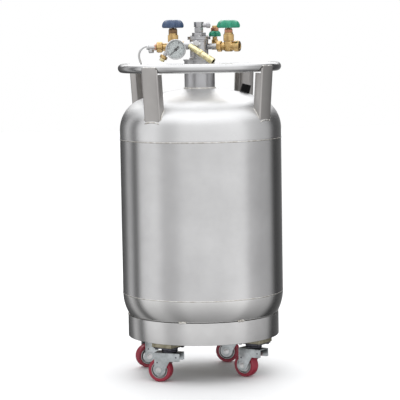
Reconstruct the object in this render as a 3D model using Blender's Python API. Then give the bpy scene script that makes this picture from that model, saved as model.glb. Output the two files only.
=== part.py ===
"""A self-pressurising liquid nitrogen dewar of about 50 litres, on four swivel casters.

Frame: metres, +Z up, origin on the vessel's axis at floor level.  -Y is the front, the side
that the pressure gauge faces, and +X is the side of the liquid outlet.
"""
import math

import bmesh
import bpy
from mathutils import Matrix, Vector

# ---------------------------------------------------------------- driving dimensions
GAP = 0.0003            # play kept between pieces that touch
BIG = 48                # sides of the vessel's round pieces
MID = 24                # sides of hand-sized round pieces
SMALL = 16              # sides of small round pieces

BODY_R = 0.253          # outer casing
WALL = 0.003
SEAM_HIGH = 0.744       # weld between casing and top dome
SEAM_LOW = 0.262        # weld between casing and bottom head
DOME_FLANGE = 0.030     # straight edge of the top dome above its weld
CROWN_R = 0.540         # dished crown of the top dome
KNUCKLE_R = 0.101       # shoulder of the top dome
LOW_KNUCKLE_R = 0.1356  # shoulder of the bottom head
LOW_TURN_R = 0.050      # tighter turn hidden behind the skirt
LOW_TURN_START = math.radians(27.2)
LOW_TURN_END = math.radians(75.0)

SKIRT_R = 0.238
SKIRT_TOP = 0.193
SKIRT_BOTTOM = 0.1247

NECK_R = 0.0475         # outer neck collar
NECK_TOP = 0.991
NECK_TUBE_R = 0.030     # cold neck tube inside the collar

INNER_R = 0.200         # liquid vessel
INNER_WALL = 0.002
INNER_LOW = 0.320
INNER_HIGH = 0.660
INNER_DISH = 0.060

RING_R = 0.2415         # handle ring, centre line
RING_TUBE_R = 0.014
RING_Z = 0.966
LEG_AZIMUTHS = (-36.5, 53.5, 143.5, -126.5)   # degrees from the front, towards +X
LEG_WIDTH = 0.060
LEG_DEPTH = 0.025
LEG_TOP = (0.2598, 0.970)      # radius and height of the outer face's top edge
LEG_FOOT = (0.2470, 0.808)

HEAD_R = 0.0285
HEAD_TOP = 1.0517
FLANGE_R = 0.036
FLANGE_TOP = 1.0612
NUT_R = 0.020
NUT_TOP = 1.0735
PLUG_FLATS = 0.027
PLUG_TOP = 1.107
HEAD_BORE = 0.0125
DIP_TUBE_R = 0.006

EVAC_R = 0.140          # distance of the evacuation port from the axis
EVAC_CAP_R = 0.015
EVAC_CAP_H = 0.027

GAUGE = Vector((-0.072, -0.060, 1.023))       # centre of the case's back
GAUGE_R = 0.0315
GAUGE_DEPTH = 0.030
NEEDLE_REST = math.radians(225.0)             # clockwise from straight up

MANIFOLD_Y = -0.046
MANIFOLD_Z = 1.037
RELIEF_START = Vector((-0.030, -0.0632, 1.033))
RELIEF_LINE = Vector((0.7574, -0.4067, -0.5108)).normalized()
RELIEF_LENGTH = 0.096
RELIEF_R = 0.010

VALVE_Z = 1.030
PRESSURE_VALVE_REACH = 0.081                  # axis of the vessel to axis of the stem
LIQUID_VALVE_REACH = 0.098
LIQUID_VALVE_TURN = -20.0                     # degrees, towards the front
VENT_VALVE_REACH = 0.0673
VENT_VALVE_TURN = 42.0                        # degrees, towards the back

CASTER_AZIMUTHS = (-34.5, 55.5, 145.5, -124.5)
CASTER_HEADINGS = (160.0, 142.0, 166.0, 200.0)   # degrees from +X, where each wheel trails
SWIVEL_R = 0.188        # distance of the caster kingpins from the axis
TRAIL = 0.030
WHEEL_R = 0.0375
TYRE_HALF = 0.0160
RIM_HALF = 0.0145
FORK_HALF = 0.0215
FORK_SHEET = 0.0025
FORK_TOP = 0.093
PLATE_TOP = 0.1119
PLATE_SHEET = 0.0030


# ---------------------------------------------------------------- materials and mesh helpers
def finish(name, colour, roughness, metallic):
    """A plain Principled material."""
    made = bpy.data.materials.new(name)
    made.use_nodes = True
    shader = made.node_tree.nodes["Principled BSDF"]
    shader.inputs["Base Color"].default_value = (*colour, 1.0)
    shader.inputs["Roughness"].default_value = roughness
    shader.inputs["Metallic"].default_value = metallic
    return made


def put(name, bm, surface, frame=None):
    """Turn a bmesh into a named object standing in the given frame."""
    bmesh.ops.recalc_face_normals(bm, faces=bm.faces)
    mesh = bpy.data.meshes.new(name)
    bm.to_mesh(mesh)
    bm.free()
    if surface:
        mesh.materials.append(surface)
    mesh.shade_smooth()
    mesh.set_sharp_from_angle(angle=math.radians(35.0))
    made = bpy.data.objects.new(name, mesh)
    bpy.context.scene.collection.objects.link(made)
    made.matrix_world = frame or Matrix.Identity(4)
    return made


def turned(profile, sides, closed=True):
    """Spin a profile of (radius, height) points about Z; an open one ends on the axis."""
    bm = bmesh.new()
    verts = [bm.verts.new((radius, 0.0, height)) for radius, height in profile]
    pairs = list(zip(verts, verts[1:]))
    if closed:
        pairs.append((verts[-1], verts[0]))
    edges = [bm.edges.new(pair) for pair in pairs]
    bmesh.ops.spin(bm, geom=verts + edges, cent=(0, 0, 0), axis=(0, 0, 1),
                   angle=math.tau, steps=sides, use_merge=True)
    bmesh.ops.remove_doubles(bm, verts=bm.verts, dist=1e-6)
    return bm


def prism(outline, low, high):
    """Raise a flat outline of (x, y) points from one height to another."""
    bm = bmesh.new()
    base = bm.faces.new([bm.verts.new((x, y, low)) for x, y in outline])
    raised = bmesh.ops.extrude_face_region(bm, geom=[base])
    verts = [item for item in raised["geom"] if isinstance(item, bmesh.types.BMVert)]
    bmesh.ops.translate(bm, verts=verts, vec=(0, 0, high - low))
    return bm


def block(low, high):
    """A box between two corners."""
    outline = [(low[0], low[1]), (high[0], low[1]), (high[0], high[1]), (low[0], high[1])]
    return prism(outline, low[2], high[2])


def polygon(radius, sides, start=0.0):
    """Corners of a regular polygon."""
    turns = [start + math.tau * step / sides for step in range(sides)]
    return [(radius * math.cos(turn), radius * math.sin(turn)) for turn in turns]


def hexagon(flats):
    """Corners of a hexagon with the given distance across its flats."""
    return polygon(flats / math.sqrt(3.0), 6, math.radians(30.0))


def along(origin, direction):
    """A frame whose +Z runs along a direction."""
    turn = Vector(direction).to_track_quat("Z", "Y").to_matrix().to_4x4()
    return Matrix.Translation(origin) @ turn


def heading(azimuth):
    """The frame of a bearing: local +X points outwards at degrees from the front towards +X."""
    return Matrix.Rotation(math.radians(azimuth - 90.0), 4, "Z")


def rod(start, end, radius, sides=SMALL):
    """A loose cylinder between two points, to be joined to or cut from a piece."""
    start = Vector(start)
    span = Vector(end) - start
    outline = polygon(radius, sides, math.pi / sides)
    return put("tool", prism(outline, 0.0, span.length), None, along(start, span))


def combine(piece, tool, operation):
    """Join a tool to a piece or cut it away, and remove the tool."""
    step = piece.modifiers.new("step", "BOOLEAN")
    step.operation = operation
    step.solver = "EXACT"
    step.object = tool
    bpy.context.view_layer.update()
    graph = bpy.context.evaluated_depsgraph_get()
    mesh = bpy.data.meshes.new_from_object(piece.evaluated_get(graph))
    piece.modifiers.clear()
    piece.data = mesh
    bpy.data.objects.remove(tool)
    return piece


def join(piece, tool):
    return combine(piece, tool, "UNION")


def cut(piece, tool):
    return combine(piece, tool, "DIFFERENCE")


def arc(centre, radius, start, end, steps):
    """Points on an arc, (radius, height) about a centre, angles from the outward direction."""
    turns = [start + (end - start) * step / steps for step in range(steps + 1)]
    return [(centre[0] + radius * math.cos(t), centre[1] + radius * math.sin(t)) for t in turns]


def smooth_route(points, steps):
    """Points on a smooth curve that passes through each of the given points."""
    points = [Vector(point) for point in points]
    padded = [2 * points[0] - points[1], *points, 2 * points[-1] - points[-2]]
    route = []
    for index in range(len(points) - 1):
        a, b, c, d = padded[index:index + 4]
        for step in range(steps):
            t = step / steps
            bend = (2 * b + (c - a) * t + (2 * a - 5 * b + 4 * c - d) * t * t
                    + (3 * b - a - 3 * c + d) * t ** 3)
            route.append(bend / 2)
    route.append(points[-1])
    return route


def tube_along(name, route, radius, surface, roundness):
    """A solid round rod that follows a route, as a mesh."""
    curve = bpy.data.curves.new(name, "CURVE")
    curve.dimensions = "3D"
    curve.bevel_depth = radius
    curve.bevel_resolution = roundness
    curve.render_resolution_u = 0
    curve.use_fill_caps = True
    spline = curve.splines.new("POLY")
    spline.points.add(len(route) - 1)
    for point, place in zip(spline.points, route):
        point.co = (*place, 1.0)
    made = bpy.data.objects.new(name, curve)
    bpy.context.scene.collection.objects.link(made)
    bpy.context.view_layer.update()
    graph = bpy.context.evaluated_depsgraph_get()
    mesh = bpy.data.meshes.new_from_object(made.evaluated_get(graph))
    bpy.data.objects.remove(made)
    bm = bmesh.new()
    bm.from_mesh(mesh)
    bmesh.ops.remove_doubles(bm, verts=bm.verts, dist=1e-6)
    return put(name, bm, surface)


# ---------------------------------------------------------------- outer casing
def dome_outline(offset, knuckle_steps=5, crown_steps=3):
    """The top dome's profile from its weld seam to the crown's centre, moved out by an offset."""
    knuckle_centre = (BODY_R - KNUCKLE_R, SEAM_HIGH + DOME_FLANGE)
    between = CROWN_R - KNUCKLE_R
    meet = math.acos(knuckle_centre[0] / between)
    crown_centre = (0.0, knuckle_centre[1] - between * math.sin(meet))
    shoulder = arc(knuckle_centre, KNUCKLE_R + offset, 0.0, meet, knuckle_steps)
    crown = arc(crown_centre, CROWN_R + offset, meet, math.pi / 2, crown_steps)
    return [(BODY_R + offset, SEAM_HIGH)] + shoulder + crown[1:]


def dome_height(radius):
    """Height of the dome's outside on its crown."""
    top = dome_outline(0.0)[-1][1]
    return top - CROWN_R + math.sqrt(CROWN_R ** 2 - radius ** 2)


def make_casing(steel):
    inner = BODY_R - WALL
    wall = [(inner, SEAM_LOW + GAP), (BODY_R, SEAM_LOW + GAP),
            (BODY_R, SEAM_HIGH - GAP), (inner, SEAM_HIGH - GAP)]
    put("outer_shell", turned(wall, BIG), steel)

    hole = NECK_R - WALL - GAP
    outside = dome_outline(0.0)[:-1] + [(hole, dome_height(hole))]
    inside = dome_outline(-WALL, 4, 2)[:-1] + [(hole, dome_height(hole) - WALL)]
    put("top_dome", turned(outside + inside[::-1], BIG), steel)


def low_head_outline(offset, steps):
    """The bottom head's profile, from its seam down to the axis."""
    knuckle = (BODY_R - LOW_KNUCKLE_R, SEAM_LOW)
    reach = LOW_KNUCKLE_R - LOW_TURN_R
    turn = (knuckle[0] + reach * math.cos(LOW_TURN_START), knuckle[1] - reach * math.sin(LOW_TURN_START))
    points = arc(knuckle, LOW_KNUCKLE_R + offset, 0.0, -LOW_TURN_START, 2)
    points += arc(turn, LOW_TURN_R + offset, -LOW_TURN_START, -LOW_TURN_END, steps)[1:]
    edge = turn[0] + LOW_TURN_R * math.cos(LOW_TURN_END)
    crown_r = edge / math.cos(LOW_TURN_END)
    top = turn[1] - LOW_TURN_R * math.sin(LOW_TURN_END) + crown_r * math.sin(LOW_TURN_END)
    points += arc((0.0, top), crown_r + offset, -LOW_TURN_END, -math.pi / 2, 2)[1:]
    return points


def make_base(steel, zinc):
    outside = low_head_outline(0.0, 3)
    inside = low_head_outline(-WALL, 2)
    put("bottom_head", turned(inside[::-1] + outside, BIG, closed=False), steel)

    inner = SKIRT_R - WALL
    wall = [(inner, SKIRT_BOTTOM), (SKIRT_R, SKIRT_BOTTOM), (SKIRT_R, SKIRT_TOP), (inner, SKIRT_TOP)]
    put("base_skirt", turned(wall, BIG), steel)

    reach = 0.232
    half = 0.036
    sheet = 0.003
    low = PLATE_TOP + GAP
    frame = heading(CASTER_AZIMUTHS[0])
    tray = put("caster_frame", prism(cross_outline(reach, half), low, SKIRT_BOTTOM - GAP), zinc, frame)
    hollow = prism(cross_outline(reach - sheet, half - sheet), low + sheet, SKIRT_BOTTOM + sheet)
    cut(tray, put("tool", hollow, None, frame))


def cross_outline(reach, half):
    """A plus sign with arms of one width, corner by corner."""
    arm = [(half, half), (reach, half), (reach, -half)]
    points = []
    for quarter in range(4):
        turn = Matrix.Rotation(-math.pi / 2 * quarter, 2)
        points += [tuple(turn @ Vector(point)) for point in arm]
    return points


# ---------------------------------------------------------------- cold side, inside the casing
def make_inside(steel, foil, copper, carbon):
    def dish(side, radius, rise, steps):
        """Quarter of an ellipse from the wall to near the axis, up or down."""
        turns = [math.pi / 2 * step / steps for step in range(steps + 1)]
        level = INNER_HIGH if side > 0 else INNER_LOW
        return [(radius * math.cos(t), level + side * rise * math.sin(t)) for t in turns]

    thin = INNER_R - INNER_WALL
    rise = INNER_DISH - INNER_WALL
    mouth = NECK_TUBE_R - 0.0015
    top = dish(1, INNER_R, INNER_DISH, 4)[:-1]
    top_inside = dish(1, thin, rise, 4)[:-1]
    outside = dish(-1, INNER_R, INNER_DISH, 3)[::-1] + top + [(mouth, INNER_HIGH + INNER_DISH)]
    inside = [(mouth, INNER_HIGH + rise)] + top_inside[::-1] + dish(-1, thin, rise, 3)
    put("inner_vessel", turned(outside + inside, MID, closed=False), steel)

    low = INNER_HIGH + INNER_DISH + GAP
    tube = [(mouth, low), (NECK_TUBE_R, low), (NECK_TUBE_R, NECK_TOP - GAP), (mouth, NECK_TOP - GAP)]
    put("inner_neck_tube", turned(tube, SMALL), steel)

    wrap = [(0.2040, 0.300), (0.2150, 0.300), (0.2150, 0.680), (0.2040, 0.680)]
    put("insulation_blanket", turned(wrap, MID), foil)

    put("adsorbent_canister", prism(polygon(0.050, SMALL), 0.236, 0.2590), carbon)

    pipe = [(0.0045, 0.275), (DIP_TUBE_R, 0.275), (DIP_TUBE_R, 1.048), (0.0045, 1.048)]
    put("dip_tube", turned(pipe, SMALL), steel)

    coil_r = 0.236
    turns = 1.5
    steps = 36
    rise = 0.050
    coil = []
    for step in range(steps + 1):
        turn = math.pi + math.tau * turns * (step / steps - 1.0)
        height = 0.300 + rise * step / steps
        coil.append((coil_r * math.cos(turn), coil_r * math.sin(turn), height))
    riser = [(-0.2358, -0.004, 0.372), (-0.2358, -0.004, 0.560), (-0.2350, -0.003, 0.720),
             (-0.2240, 0.0, 0.780), (-0.1980, 0.0, 0.825), (-0.1640, 0.0, 0.8580)]
    tube_along("pressure_coil", [Vector(p) for p in coil] + smooth_route(riser, 2), 0.004, copper, 1)


# ---------------------------------------------------------------- handle ring, neck and ports
def make_handle(steel):
    section = arc((RING_R, RING_Z), RING_TUBE_R, 0.0, math.tau, 8)[:-1]
    put("handle_ring", turned(section, BIG), steel)

    lean = math.atan2(LEG_TOP[0] - LEG_FOOT[0], LEG_TOP[1] - LEG_FOOT[1])
    half = LEG_WIDTH / 2
    inner = half - WALL
    channel = [(0, -half), (0, half), (-LEG_DEPTH, half), (-LEG_DEPTH, inner), (-WALL, inner),
               (-WALL, -inner), (-LEG_DEPTH, -inner), (-LEG_DEPTH, -half)]
    length = 0.200
    relief = 0.0225
    for number, azimuth in enumerate(LEG_AZIMUTHS, start=1):
        stand = heading(azimuth) @ Matrix.Translation((LEG_TOP[0], 0, LEG_TOP[1]))
        stand = stand @ Matrix.Rotation(lean, 4, "Y")
        leg = put(f"ring_leg_{number}", prism(channel, -length, 0.0), steel, stand)
        corner = (-2 * LEG_DEPTH, -LEG_WIDTH, -relief)
        cut(leg, put("tool", block(corner, (-WALL - 1e-5, LEG_WIDTH, relief)), None, stand))
        core = [(0.0, 0.50), (BODY_R + GAP, 0.50)] + dome_outline(GAP)
        cut(leg, put("tool", turned(core, BIG, closed=False), None))


def make_neck(steel, black):
    foot = dome_height(NECK_R - WALL) + GAP
    rim = 0.0025
    step = NECK_TOP - 0.005
    bore = NECK_TUBE_R + GAP
    inner = NECK_R - WALL
    collar = [(NECK_R, foot), (NECK_R, step), (NECK_R + rim, step), (NECK_R + rim, NECK_TOP),
              (bore, NECK_TOP), (bore, NECK_TOP - WALL), (inner, NECK_TOP - WALL), (inner, foot)]
    put("neck_collar", turned(collar, MID), steel)

    low = NECK_TOP + GAP
    body = [(HEAD_BORE, low), (HEAD_R, low), (HEAD_R, HEAD_TOP), (HEAD_BORE, HEAD_TOP)]
    put("head_body", turned(body, MID), steel)
    low = HEAD_TOP + GAP
    bore = 0.0105
    flange = [(bore, low), (FLANGE_R, low), (FLANGE_R, FLANGE_TOP), (NUT_R, FLANGE_TOP),
              (NUT_R, NUT_TOP), (bore, NUT_TOP)]
    put("head_flange", turned(flange, MID), steel)

    plug = put("fill_plug", prism(hexagon(PLUG_FLATS), NUT_TOP + GAP, PLUG_TOP), steel)
    join(plug, rod((0, 0, NUT_TOP - 0.018), (0, 0, NUT_TOP + 0.004), bore - 0.0005))
    join(plug, rod((0.006, 0, 1.096), (0.036, 0, 1.096), 0.008))

    tilt = math.asin(EVAC_R / CROWN_R)
    lean = (math.sin(tilt), 0.0, math.cos(tilt))
    port = along((EVAC_R, 0.0, dome_height(EVAC_R)), lean)
    stub = [(0.008, GAP), (0.0108, GAP), (0.0108, 0.018), (0.008, 0.018)]
    put("evac_port", turned(stub, SMALL), steel, port)
    wall_low = 0.0008
    inside = 0.0115
    cap = [(inside, wall_low), (EVAC_CAP_R, wall_low), (EVAC_CAP_R, EVAC_CAP_H - 0.002),
           (EVAC_CAP_R - 0.002, EVAC_CAP_H), (0.0, EVAC_CAP_H), (0.0, 0.0195), (inside, 0.0195)]
    put("evac_cap", cap_body(cap), black, port)


def cap_body(profile):
    """A cup turned from a closed profile that touches the axis along one edge."""
    split = next(i for i, point in enumerate(profile) if point[0] == 0.0) + 1
    return turned(profile[split:] + profile[:split], SMALL, closed=False)


# ---------------------------------------------------------------- gauge, manifold and safety pieces
def make_gauge(steel, enamel, black, glass, brass):
    face = along(GAUGE, (0, -1, 0))
    wall = 0.002
    case = [(0.0, 0.0), (GAUGE_R, 0.0), (GAUGE_R, GAUGE_DEPTH), (GAUGE_R - wall, GAUGE_DEPTH),
            (GAUGE_R - wall, 0.020), (0.0, 0.020)]
    put("gauge_case", turned(case, 32, closed=False), steel, face)
    seat = GAUGE_R - wall - GAP
    put("gauge_dial", prism(polygon(seat, 32), 0.020 + GAP, 0.0215), enamel, face)
    put("gauge_lens", prism(polygon(seat, 32), 0.0280, 0.0295), glass, face)

    pivot = Matrix.Translation(GAUGE + Vector((0, -0.0235, 0)))
    hub = polygon(0.0035, 12)
    dial_plane = pivot @ Matrix.Rotation(math.pi / 2, 4, "X")
    needle = put("gauge_needle", prism(hub, 0.0, 0.0022), black, dial_plane)
    tip = 0.0225
    tail = 0.0125
    half_blade = [(0.0027, -tail), (0.0010, 0.0), (0.0003, tip)]
    blade = half_blade + [(-x, y) for x, y in half_blade[::-1]]
    swing = pivot @ Matrix.Rotation(NEEDLE_REST, 4, "Y") @ Matrix.Rotation(math.pi / 2, 4, "X")
    join(needle, put("tool", prism(blade, 0.0006, 0.0014), None, swing))

    bar = rod((-0.094, MANIFOLD_Y, MANIFOLD_Z), (0.004, MANIFOLD_Y, MANIFOLD_Z), 0.0070, 12)
    bar.name = "gauge_manifold"
    bar.data.materials.append(steel)
    join(bar, rod((-0.009, -0.0290, 1.040), (-0.009, MANIFOLD_Y, 1.040), 0.0095, 12))
    join(bar, rod((GAUGE.x, GAUGE.y + GAP, 1.030), (GAUGE.x, MANIFOLD_Y, 1.030), 0.0060, 12))
    side = RELIEF_START + RELIEF_LINE * 0.012
    join(bar, rod((side.x, side.y, side.z), (side.x, MANIFOLD_Y, side.z), 0.0050, 12))
    clear_of = (RELIEF_START - RELIEF_LINE * 0.001, RELIEF_START + RELIEF_LINE * 0.040)
    cut(bar, rod(*clear_of, RELIEF_R + 2 * GAP, 32))
    knee = Vector((-0.089, MANIFOLD_Y, MANIFOLD_Z))
    mouth = Vector((-0.108, MANIFOLD_Y, 1.004))
    join(bar, rod(knee, mouth, 0.0060, 12))

    drop = (mouth - knee).normalized()
    start = mouth + drop * GAP
    plug = put("burst_plug", prism(hexagon(0.021), 0.0, 0.011), brass, along(start, drop))
    join(plug, rod(start + drop * 0.009, start + drop * 0.020, 0.0080, 12))

    line = along(RELIEF_START, RELIEF_LINE)
    bore = 0.0068
    seat_level = 0.030
    body = [(0.0, 0.0), (RELIEF_R, 0.0), (RELIEF_R, RELIEF_LENGTH), (bore, RELIEF_LENGTH),
            (bore, seat_level), (0.0, seat_level)]
    relief = put("relief_body", turned(body, SMALL, closed=False), brass, line)
    cut(relief, rod(line @ Vector((0, 0, 0.010)), line @ Vector((0, 0, 0.040)), 0.0030, 8))
    poppet = [(0.0, seat_level + GAP), (0.0063, seat_level + GAP), (0.0063, 0.037), (0.0025, 0.037),
              (0.0025, 0.050), (0.0, 0.050)]
    put("relief_poppet", turned(poppet, 12, closed=False), brass, line)


# ---------------------------------------------------------------- valves
def scalloped(radius, lobes, depth, per_lobe=4):
    """Outline of a handwheel whose rim has finger hollows."""
    count = lobes * per_lobe
    points = []
    for step in range(count):
        turn = math.tau * step / count
        reach = radius - depth * (1.0 - math.cos(lobes * turn)) / 2
        points.append((reach * math.cos(turn), reach * math.sin(turn)))
    return points


def make_handwheel(name, frame, low, height, radius, bore, paint):
    wheel = put(name, prism(scalloped(radius, 8, 0.0045), low, low + height), paint, frame)
    roof = 0.003
    cut(wheel, rod(frame @ Vector((0, 0, low - 0.01)), frame @ Vector((0, 0, low + height - roof)), bore, 12))
    hollow = [(0.011, low - 0.005), (radius * 0.72, low - 0.005), (radius * 0.72, low + height * 0.45),
              (0.011, low + height * 0.60)]
    return cut(wheel, put("tool", turned(hollow, SMALL), None, frame))


def make_globe_valve(name, turn, reach, ends, bonnet_top, wheel, surfaces):
    """A brass globe valve on an arm that leaves the head at `turn` degrees from +X.

    ends are distances from the vessel's axis: the nipple's inlet, the wide barrel's start, the outlet.
    wheel is (radius, height).  The bore is open at the outlet end.
    """
    inlet, start, outlet = ends
    brass, paint = surfaces
    arm = Matrix.Rotation(math.radians(turn), 4, "Z")
    stem_axis = arm @ Matrix.Translation((reach, 0, 0))

    def at(distance, level=VALVE_Z):
        return arm @ Vector((distance, 0, level))

    barrel = 0.0130
    bore = 0.0085
    chamber = 0.0115
    top = VALVE_Z + 0.0155
    out = arm.to_3x3() @ Vector((1, 0, 0))
    body = rod(at(start), at(outlet), barrel)
    body.name = f"{name}_body"
    body.data.materials.append(brass)
    join(body, rod(at(inlet), at(reach), 0.0088))
    join(body, put("tool", prism(hexagon(0.0300), 0, 0.014), None, along(at(start - 0.001), out)))
    join(body, put("tool", prism(polygon(0.0160, SMALL), 0, 0.017), None, along(at(outlet - 0.016), out)))
    join(body, rod(at(reach, VALVE_Z - 0.0165), at(reach, top), 0.0165))
    cut(body, rod(at(reach, VALVE_Z - 0.004), at(reach, top + 0.01), chamber))
    cut(body, rod(at(reach), at(outlet + 0.01), bore))
    cut(body, rod(at(inlet - 0.01), at(reach), 0.0055, 12))

    stem_r = 0.0040
    bonnet = put(f"{name}_bonnet", prism(hexagon(0.0330), top + GAP, top + 0.0260), brass, stem_axis)
    join(bonnet, rod(at(reach, top + 0.020), at(reach, bonnet_top), 0.0138))
    cut(bonnet, rod(at(reach, top - 0.01), at(reach, bonnet_top + 0.01), stem_r + 0.0005, 12))

    seat = VALVE_Z - 0.004 + GAP
    disc = [(0.0, seat), (0.0095, seat), (0.0095, seat + 0.006), (0.0, seat + 0.006)]
    put(f"{name}_poppet", turned(disc, 12, closed=False), brass, stem_axis)
    radius, height = wheel
    low = bonnet_top + 0.0006
    foot = seat + 0.006 + GAP
    stem_top = low + height - 0.005
    stem = [(0.0, foot), (stem_r, foot), (stem_r, stem_top), (0.0, stem_top)]
    put(f"{name}_stem", turned(stem, 12, closed=False), brass, stem_axis)
    make_handwheel(f"{name}_handwheel", stem_axis, low, height, radius, stem_r + 0.0005, paint)


def make_vent_valve(brass, paint):
    arm = Matrix.Rotation(math.radians(VENT_VALVE_TURN), 4, "Z")
    stem_axis = arm @ Matrix.Translation((VENT_VALVE_REACH, 0, 0))

    def at(distance, level=VALVE_Z):
        return arm @ Vector((distance, 0, level))

    body = rod(at(HEAD_R + 0.0006), at(VENT_VALVE_REACH + 0.026), 0.0085, 12)
    body.name = "vent_valve_body"
    body.data.materials.append(brass)
    bonnet_top = 1.0600
    join(body, rod(at(VENT_VALVE_REACH, VALVE_Z - 0.011), at(VENT_VALVE_REACH, bonnet_top), 0.0105))
    stem_hole = (at(VENT_VALVE_REACH, VALVE_Z - 0.003), at(VENT_VALVE_REACH, bonnet_top + 0.01))
    cut(body, rod(*stem_hole, 0.0040, 12))
    cut(body, rod(at(VENT_VALVE_REACH), at(VENT_VALVE_REACH + 0.04), 0.0050, 12))

    low = bonnet_top + 0.0006
    height = 0.018
    make_handwheel("vent_valve_handwheel", stem_axis, low, height, 0.019, 0.0040, paint)
    foot = VALVE_Z - 0.0026
    stem = put("vent_valve_stem", prism(polygon(0.0035, 12), foot, low + height - 0.004), brass, stem_axis)
    through = low + height - 0.006
    bolt = 0.0025
    cut(bpy.data.objects["vent_valve_handwheel"],
        rod(at(VENT_VALVE_REACH, through), at(VENT_VALVE_REACH, low + height + 0.01), bolt + 0.0005, 12))
    head = (at(VENT_VALVE_REACH, through - 0.002), at(VENT_VALVE_REACH, low + height + 0.004))
    join(stem, rod(*head, bolt, 12))
    nut = prism(hexagon(0.024), low + height + GAP, 1.0950)
    join(stem, put("tool", nut, None, stem_axis))


def make_pressure_tube(steel):
    """The rigid tube that takes liquid from the casing's coil to the pressure-building valve."""
    route = [(-0.150, 0, 1.0330), (-0.163, 0, 1.0335), (-0.175, 0, 1.0290), (-0.1845, 0, 1.0190),
             (-0.1885, 0, 1.0060), (-0.1870, 0, 0.9930), (-0.1820, 0, 0.9780), (-0.1740, 0, 0.9500),
             (-0.1660, 0, 0.9200), (-0.1615, 0, 0.9000), (-0.1600, 0, 0.8860)]
    tube = tube_along("pressure_tube", smooth_route(route, 3), 0.0030, steel, 2)
    join(tube, rod((-0.1333, 0, VALVE_Z), (-0.1580, 0, VALVE_Z), 0.0085, 12))
    join(tube, rod((-0.1500, 0, VALVE_Z), (-0.1500, 0, 1.0120), 0.0075, 12))
    dome_nut = Matrix.Translation((-0.16, 0, 0))
    join(tube, put("tool", prism(hexagon(0.017), 0.8818, 0.8940), None, dome_nut))


# ---------------------------------------------------------------- casters
def fork_outline():
    """Side plate seen from the side: local x trails, local y is height."""
    boss = 0.0175
    lower = arc((TRAIL, WHEEL_R), boss, 0.10, -math.radians(150.0), 5)
    return [(-0.040, FORK_TOP), (-0.040, 0.0680), (-0.0060, 0.0660)] + lower[::-1] + \
        [(0.0440, 0.0480), (0.0440, FORK_TOP)]


def make_caster(number, azimuth, trail_heading, zinc, hub_metal, rubber):
    place = heading(azimuth) @ Vector((SWIVEL_R, 0, 0))
    square = Matrix.Translation(place) @ heading(azimuth)
    race_low = FORK_TOP + 0.0008
    long_half = 0.0440
    wide_half = 0.0330
    sheet = block((-long_half, -wide_half, PLATE_TOP - PLATE_SHEET), (long_half, wide_half, PLATE_TOP))
    plate = put(f"caster_plate_{number}", sheet, zinc, square)
    join(plate, rod((place.x, place.y, race_low), (place.x, place.y, PLATE_TOP - 0.001), 0.0260))
    race_bore = ((place.x, place.y, race_low - 0.01), (place.x, place.y, PLATE_TOP - 0.0028))
    cut(plate, rod(*race_bore, 0.0090, 12))

    turn = Matrix.Translation(place) @ Matrix.Rotation(math.radians(trail_heading), 4, "Z")
    upright = turn @ Matrix.Rotation(math.pi / 2, 4, "X")
    fork = put(f"caster_fork_{number}", prism(fork_outline(), -FORK_HALF, FORK_HALF), zinc, upright)
    gap_half = FORK_HALF - FORK_SHEET
    inside = block((-0.09, -0.02, -gap_half), (0.09, FORK_TOP - FORK_SHEET, gap_half))
    cut(fork, put("tool", inside, None, upright))
    axle = turn @ Vector((TRAIL, 0, WHEEL_R))
    side = turn.to_3x3() @ Vector((0, 1, 0))
    join(fork, rod(axle - side * (FORK_HALF + 0.003), axle + side * (FORK_HALF + 0.003), 0.0048, 12))
    kingpin = ((place.x, place.y, FORK_TOP - 0.002), (place.x, place.y, PLATE_TOP - 0.004))
    join(fork, rod(*kingpin, 0.0080, 12))
    origin = fork.matrix_world.copy()
    fork.data.transform(turn.inverted() @ origin)
    fork.matrix_world = turn

    spin = along(axle, side)
    sides = 20
    bore = 0.0055
    rim = 0.0262
    boss = gap_half - 0.0006
    hub = [(bore, -boss), (0.0100, -boss), (0.0125, -0.0100), (rim, -RIM_HALF), (rim, RIM_HALF),
           (0.0125, 0.0100), (0.0100, boss), (bore, boss)]
    put(f"caster_hub_{number}", turned(hub, sides), hub_metal, spin)
    tread = [(rim + GAP, -RIM_HALF), (WHEEL_R - 0.0030, -TYRE_HALF), (WHEEL_R, -TYRE_HALF + 0.0045),
             (WHEEL_R, TYRE_HALF - 0.0045), (WHEEL_R - 0.0030, TYRE_HALF), (rim + GAP, RIM_HALF)]
    put(f"caster_tyre_{number}", turned(tread, sides), rubber, spin)


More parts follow.
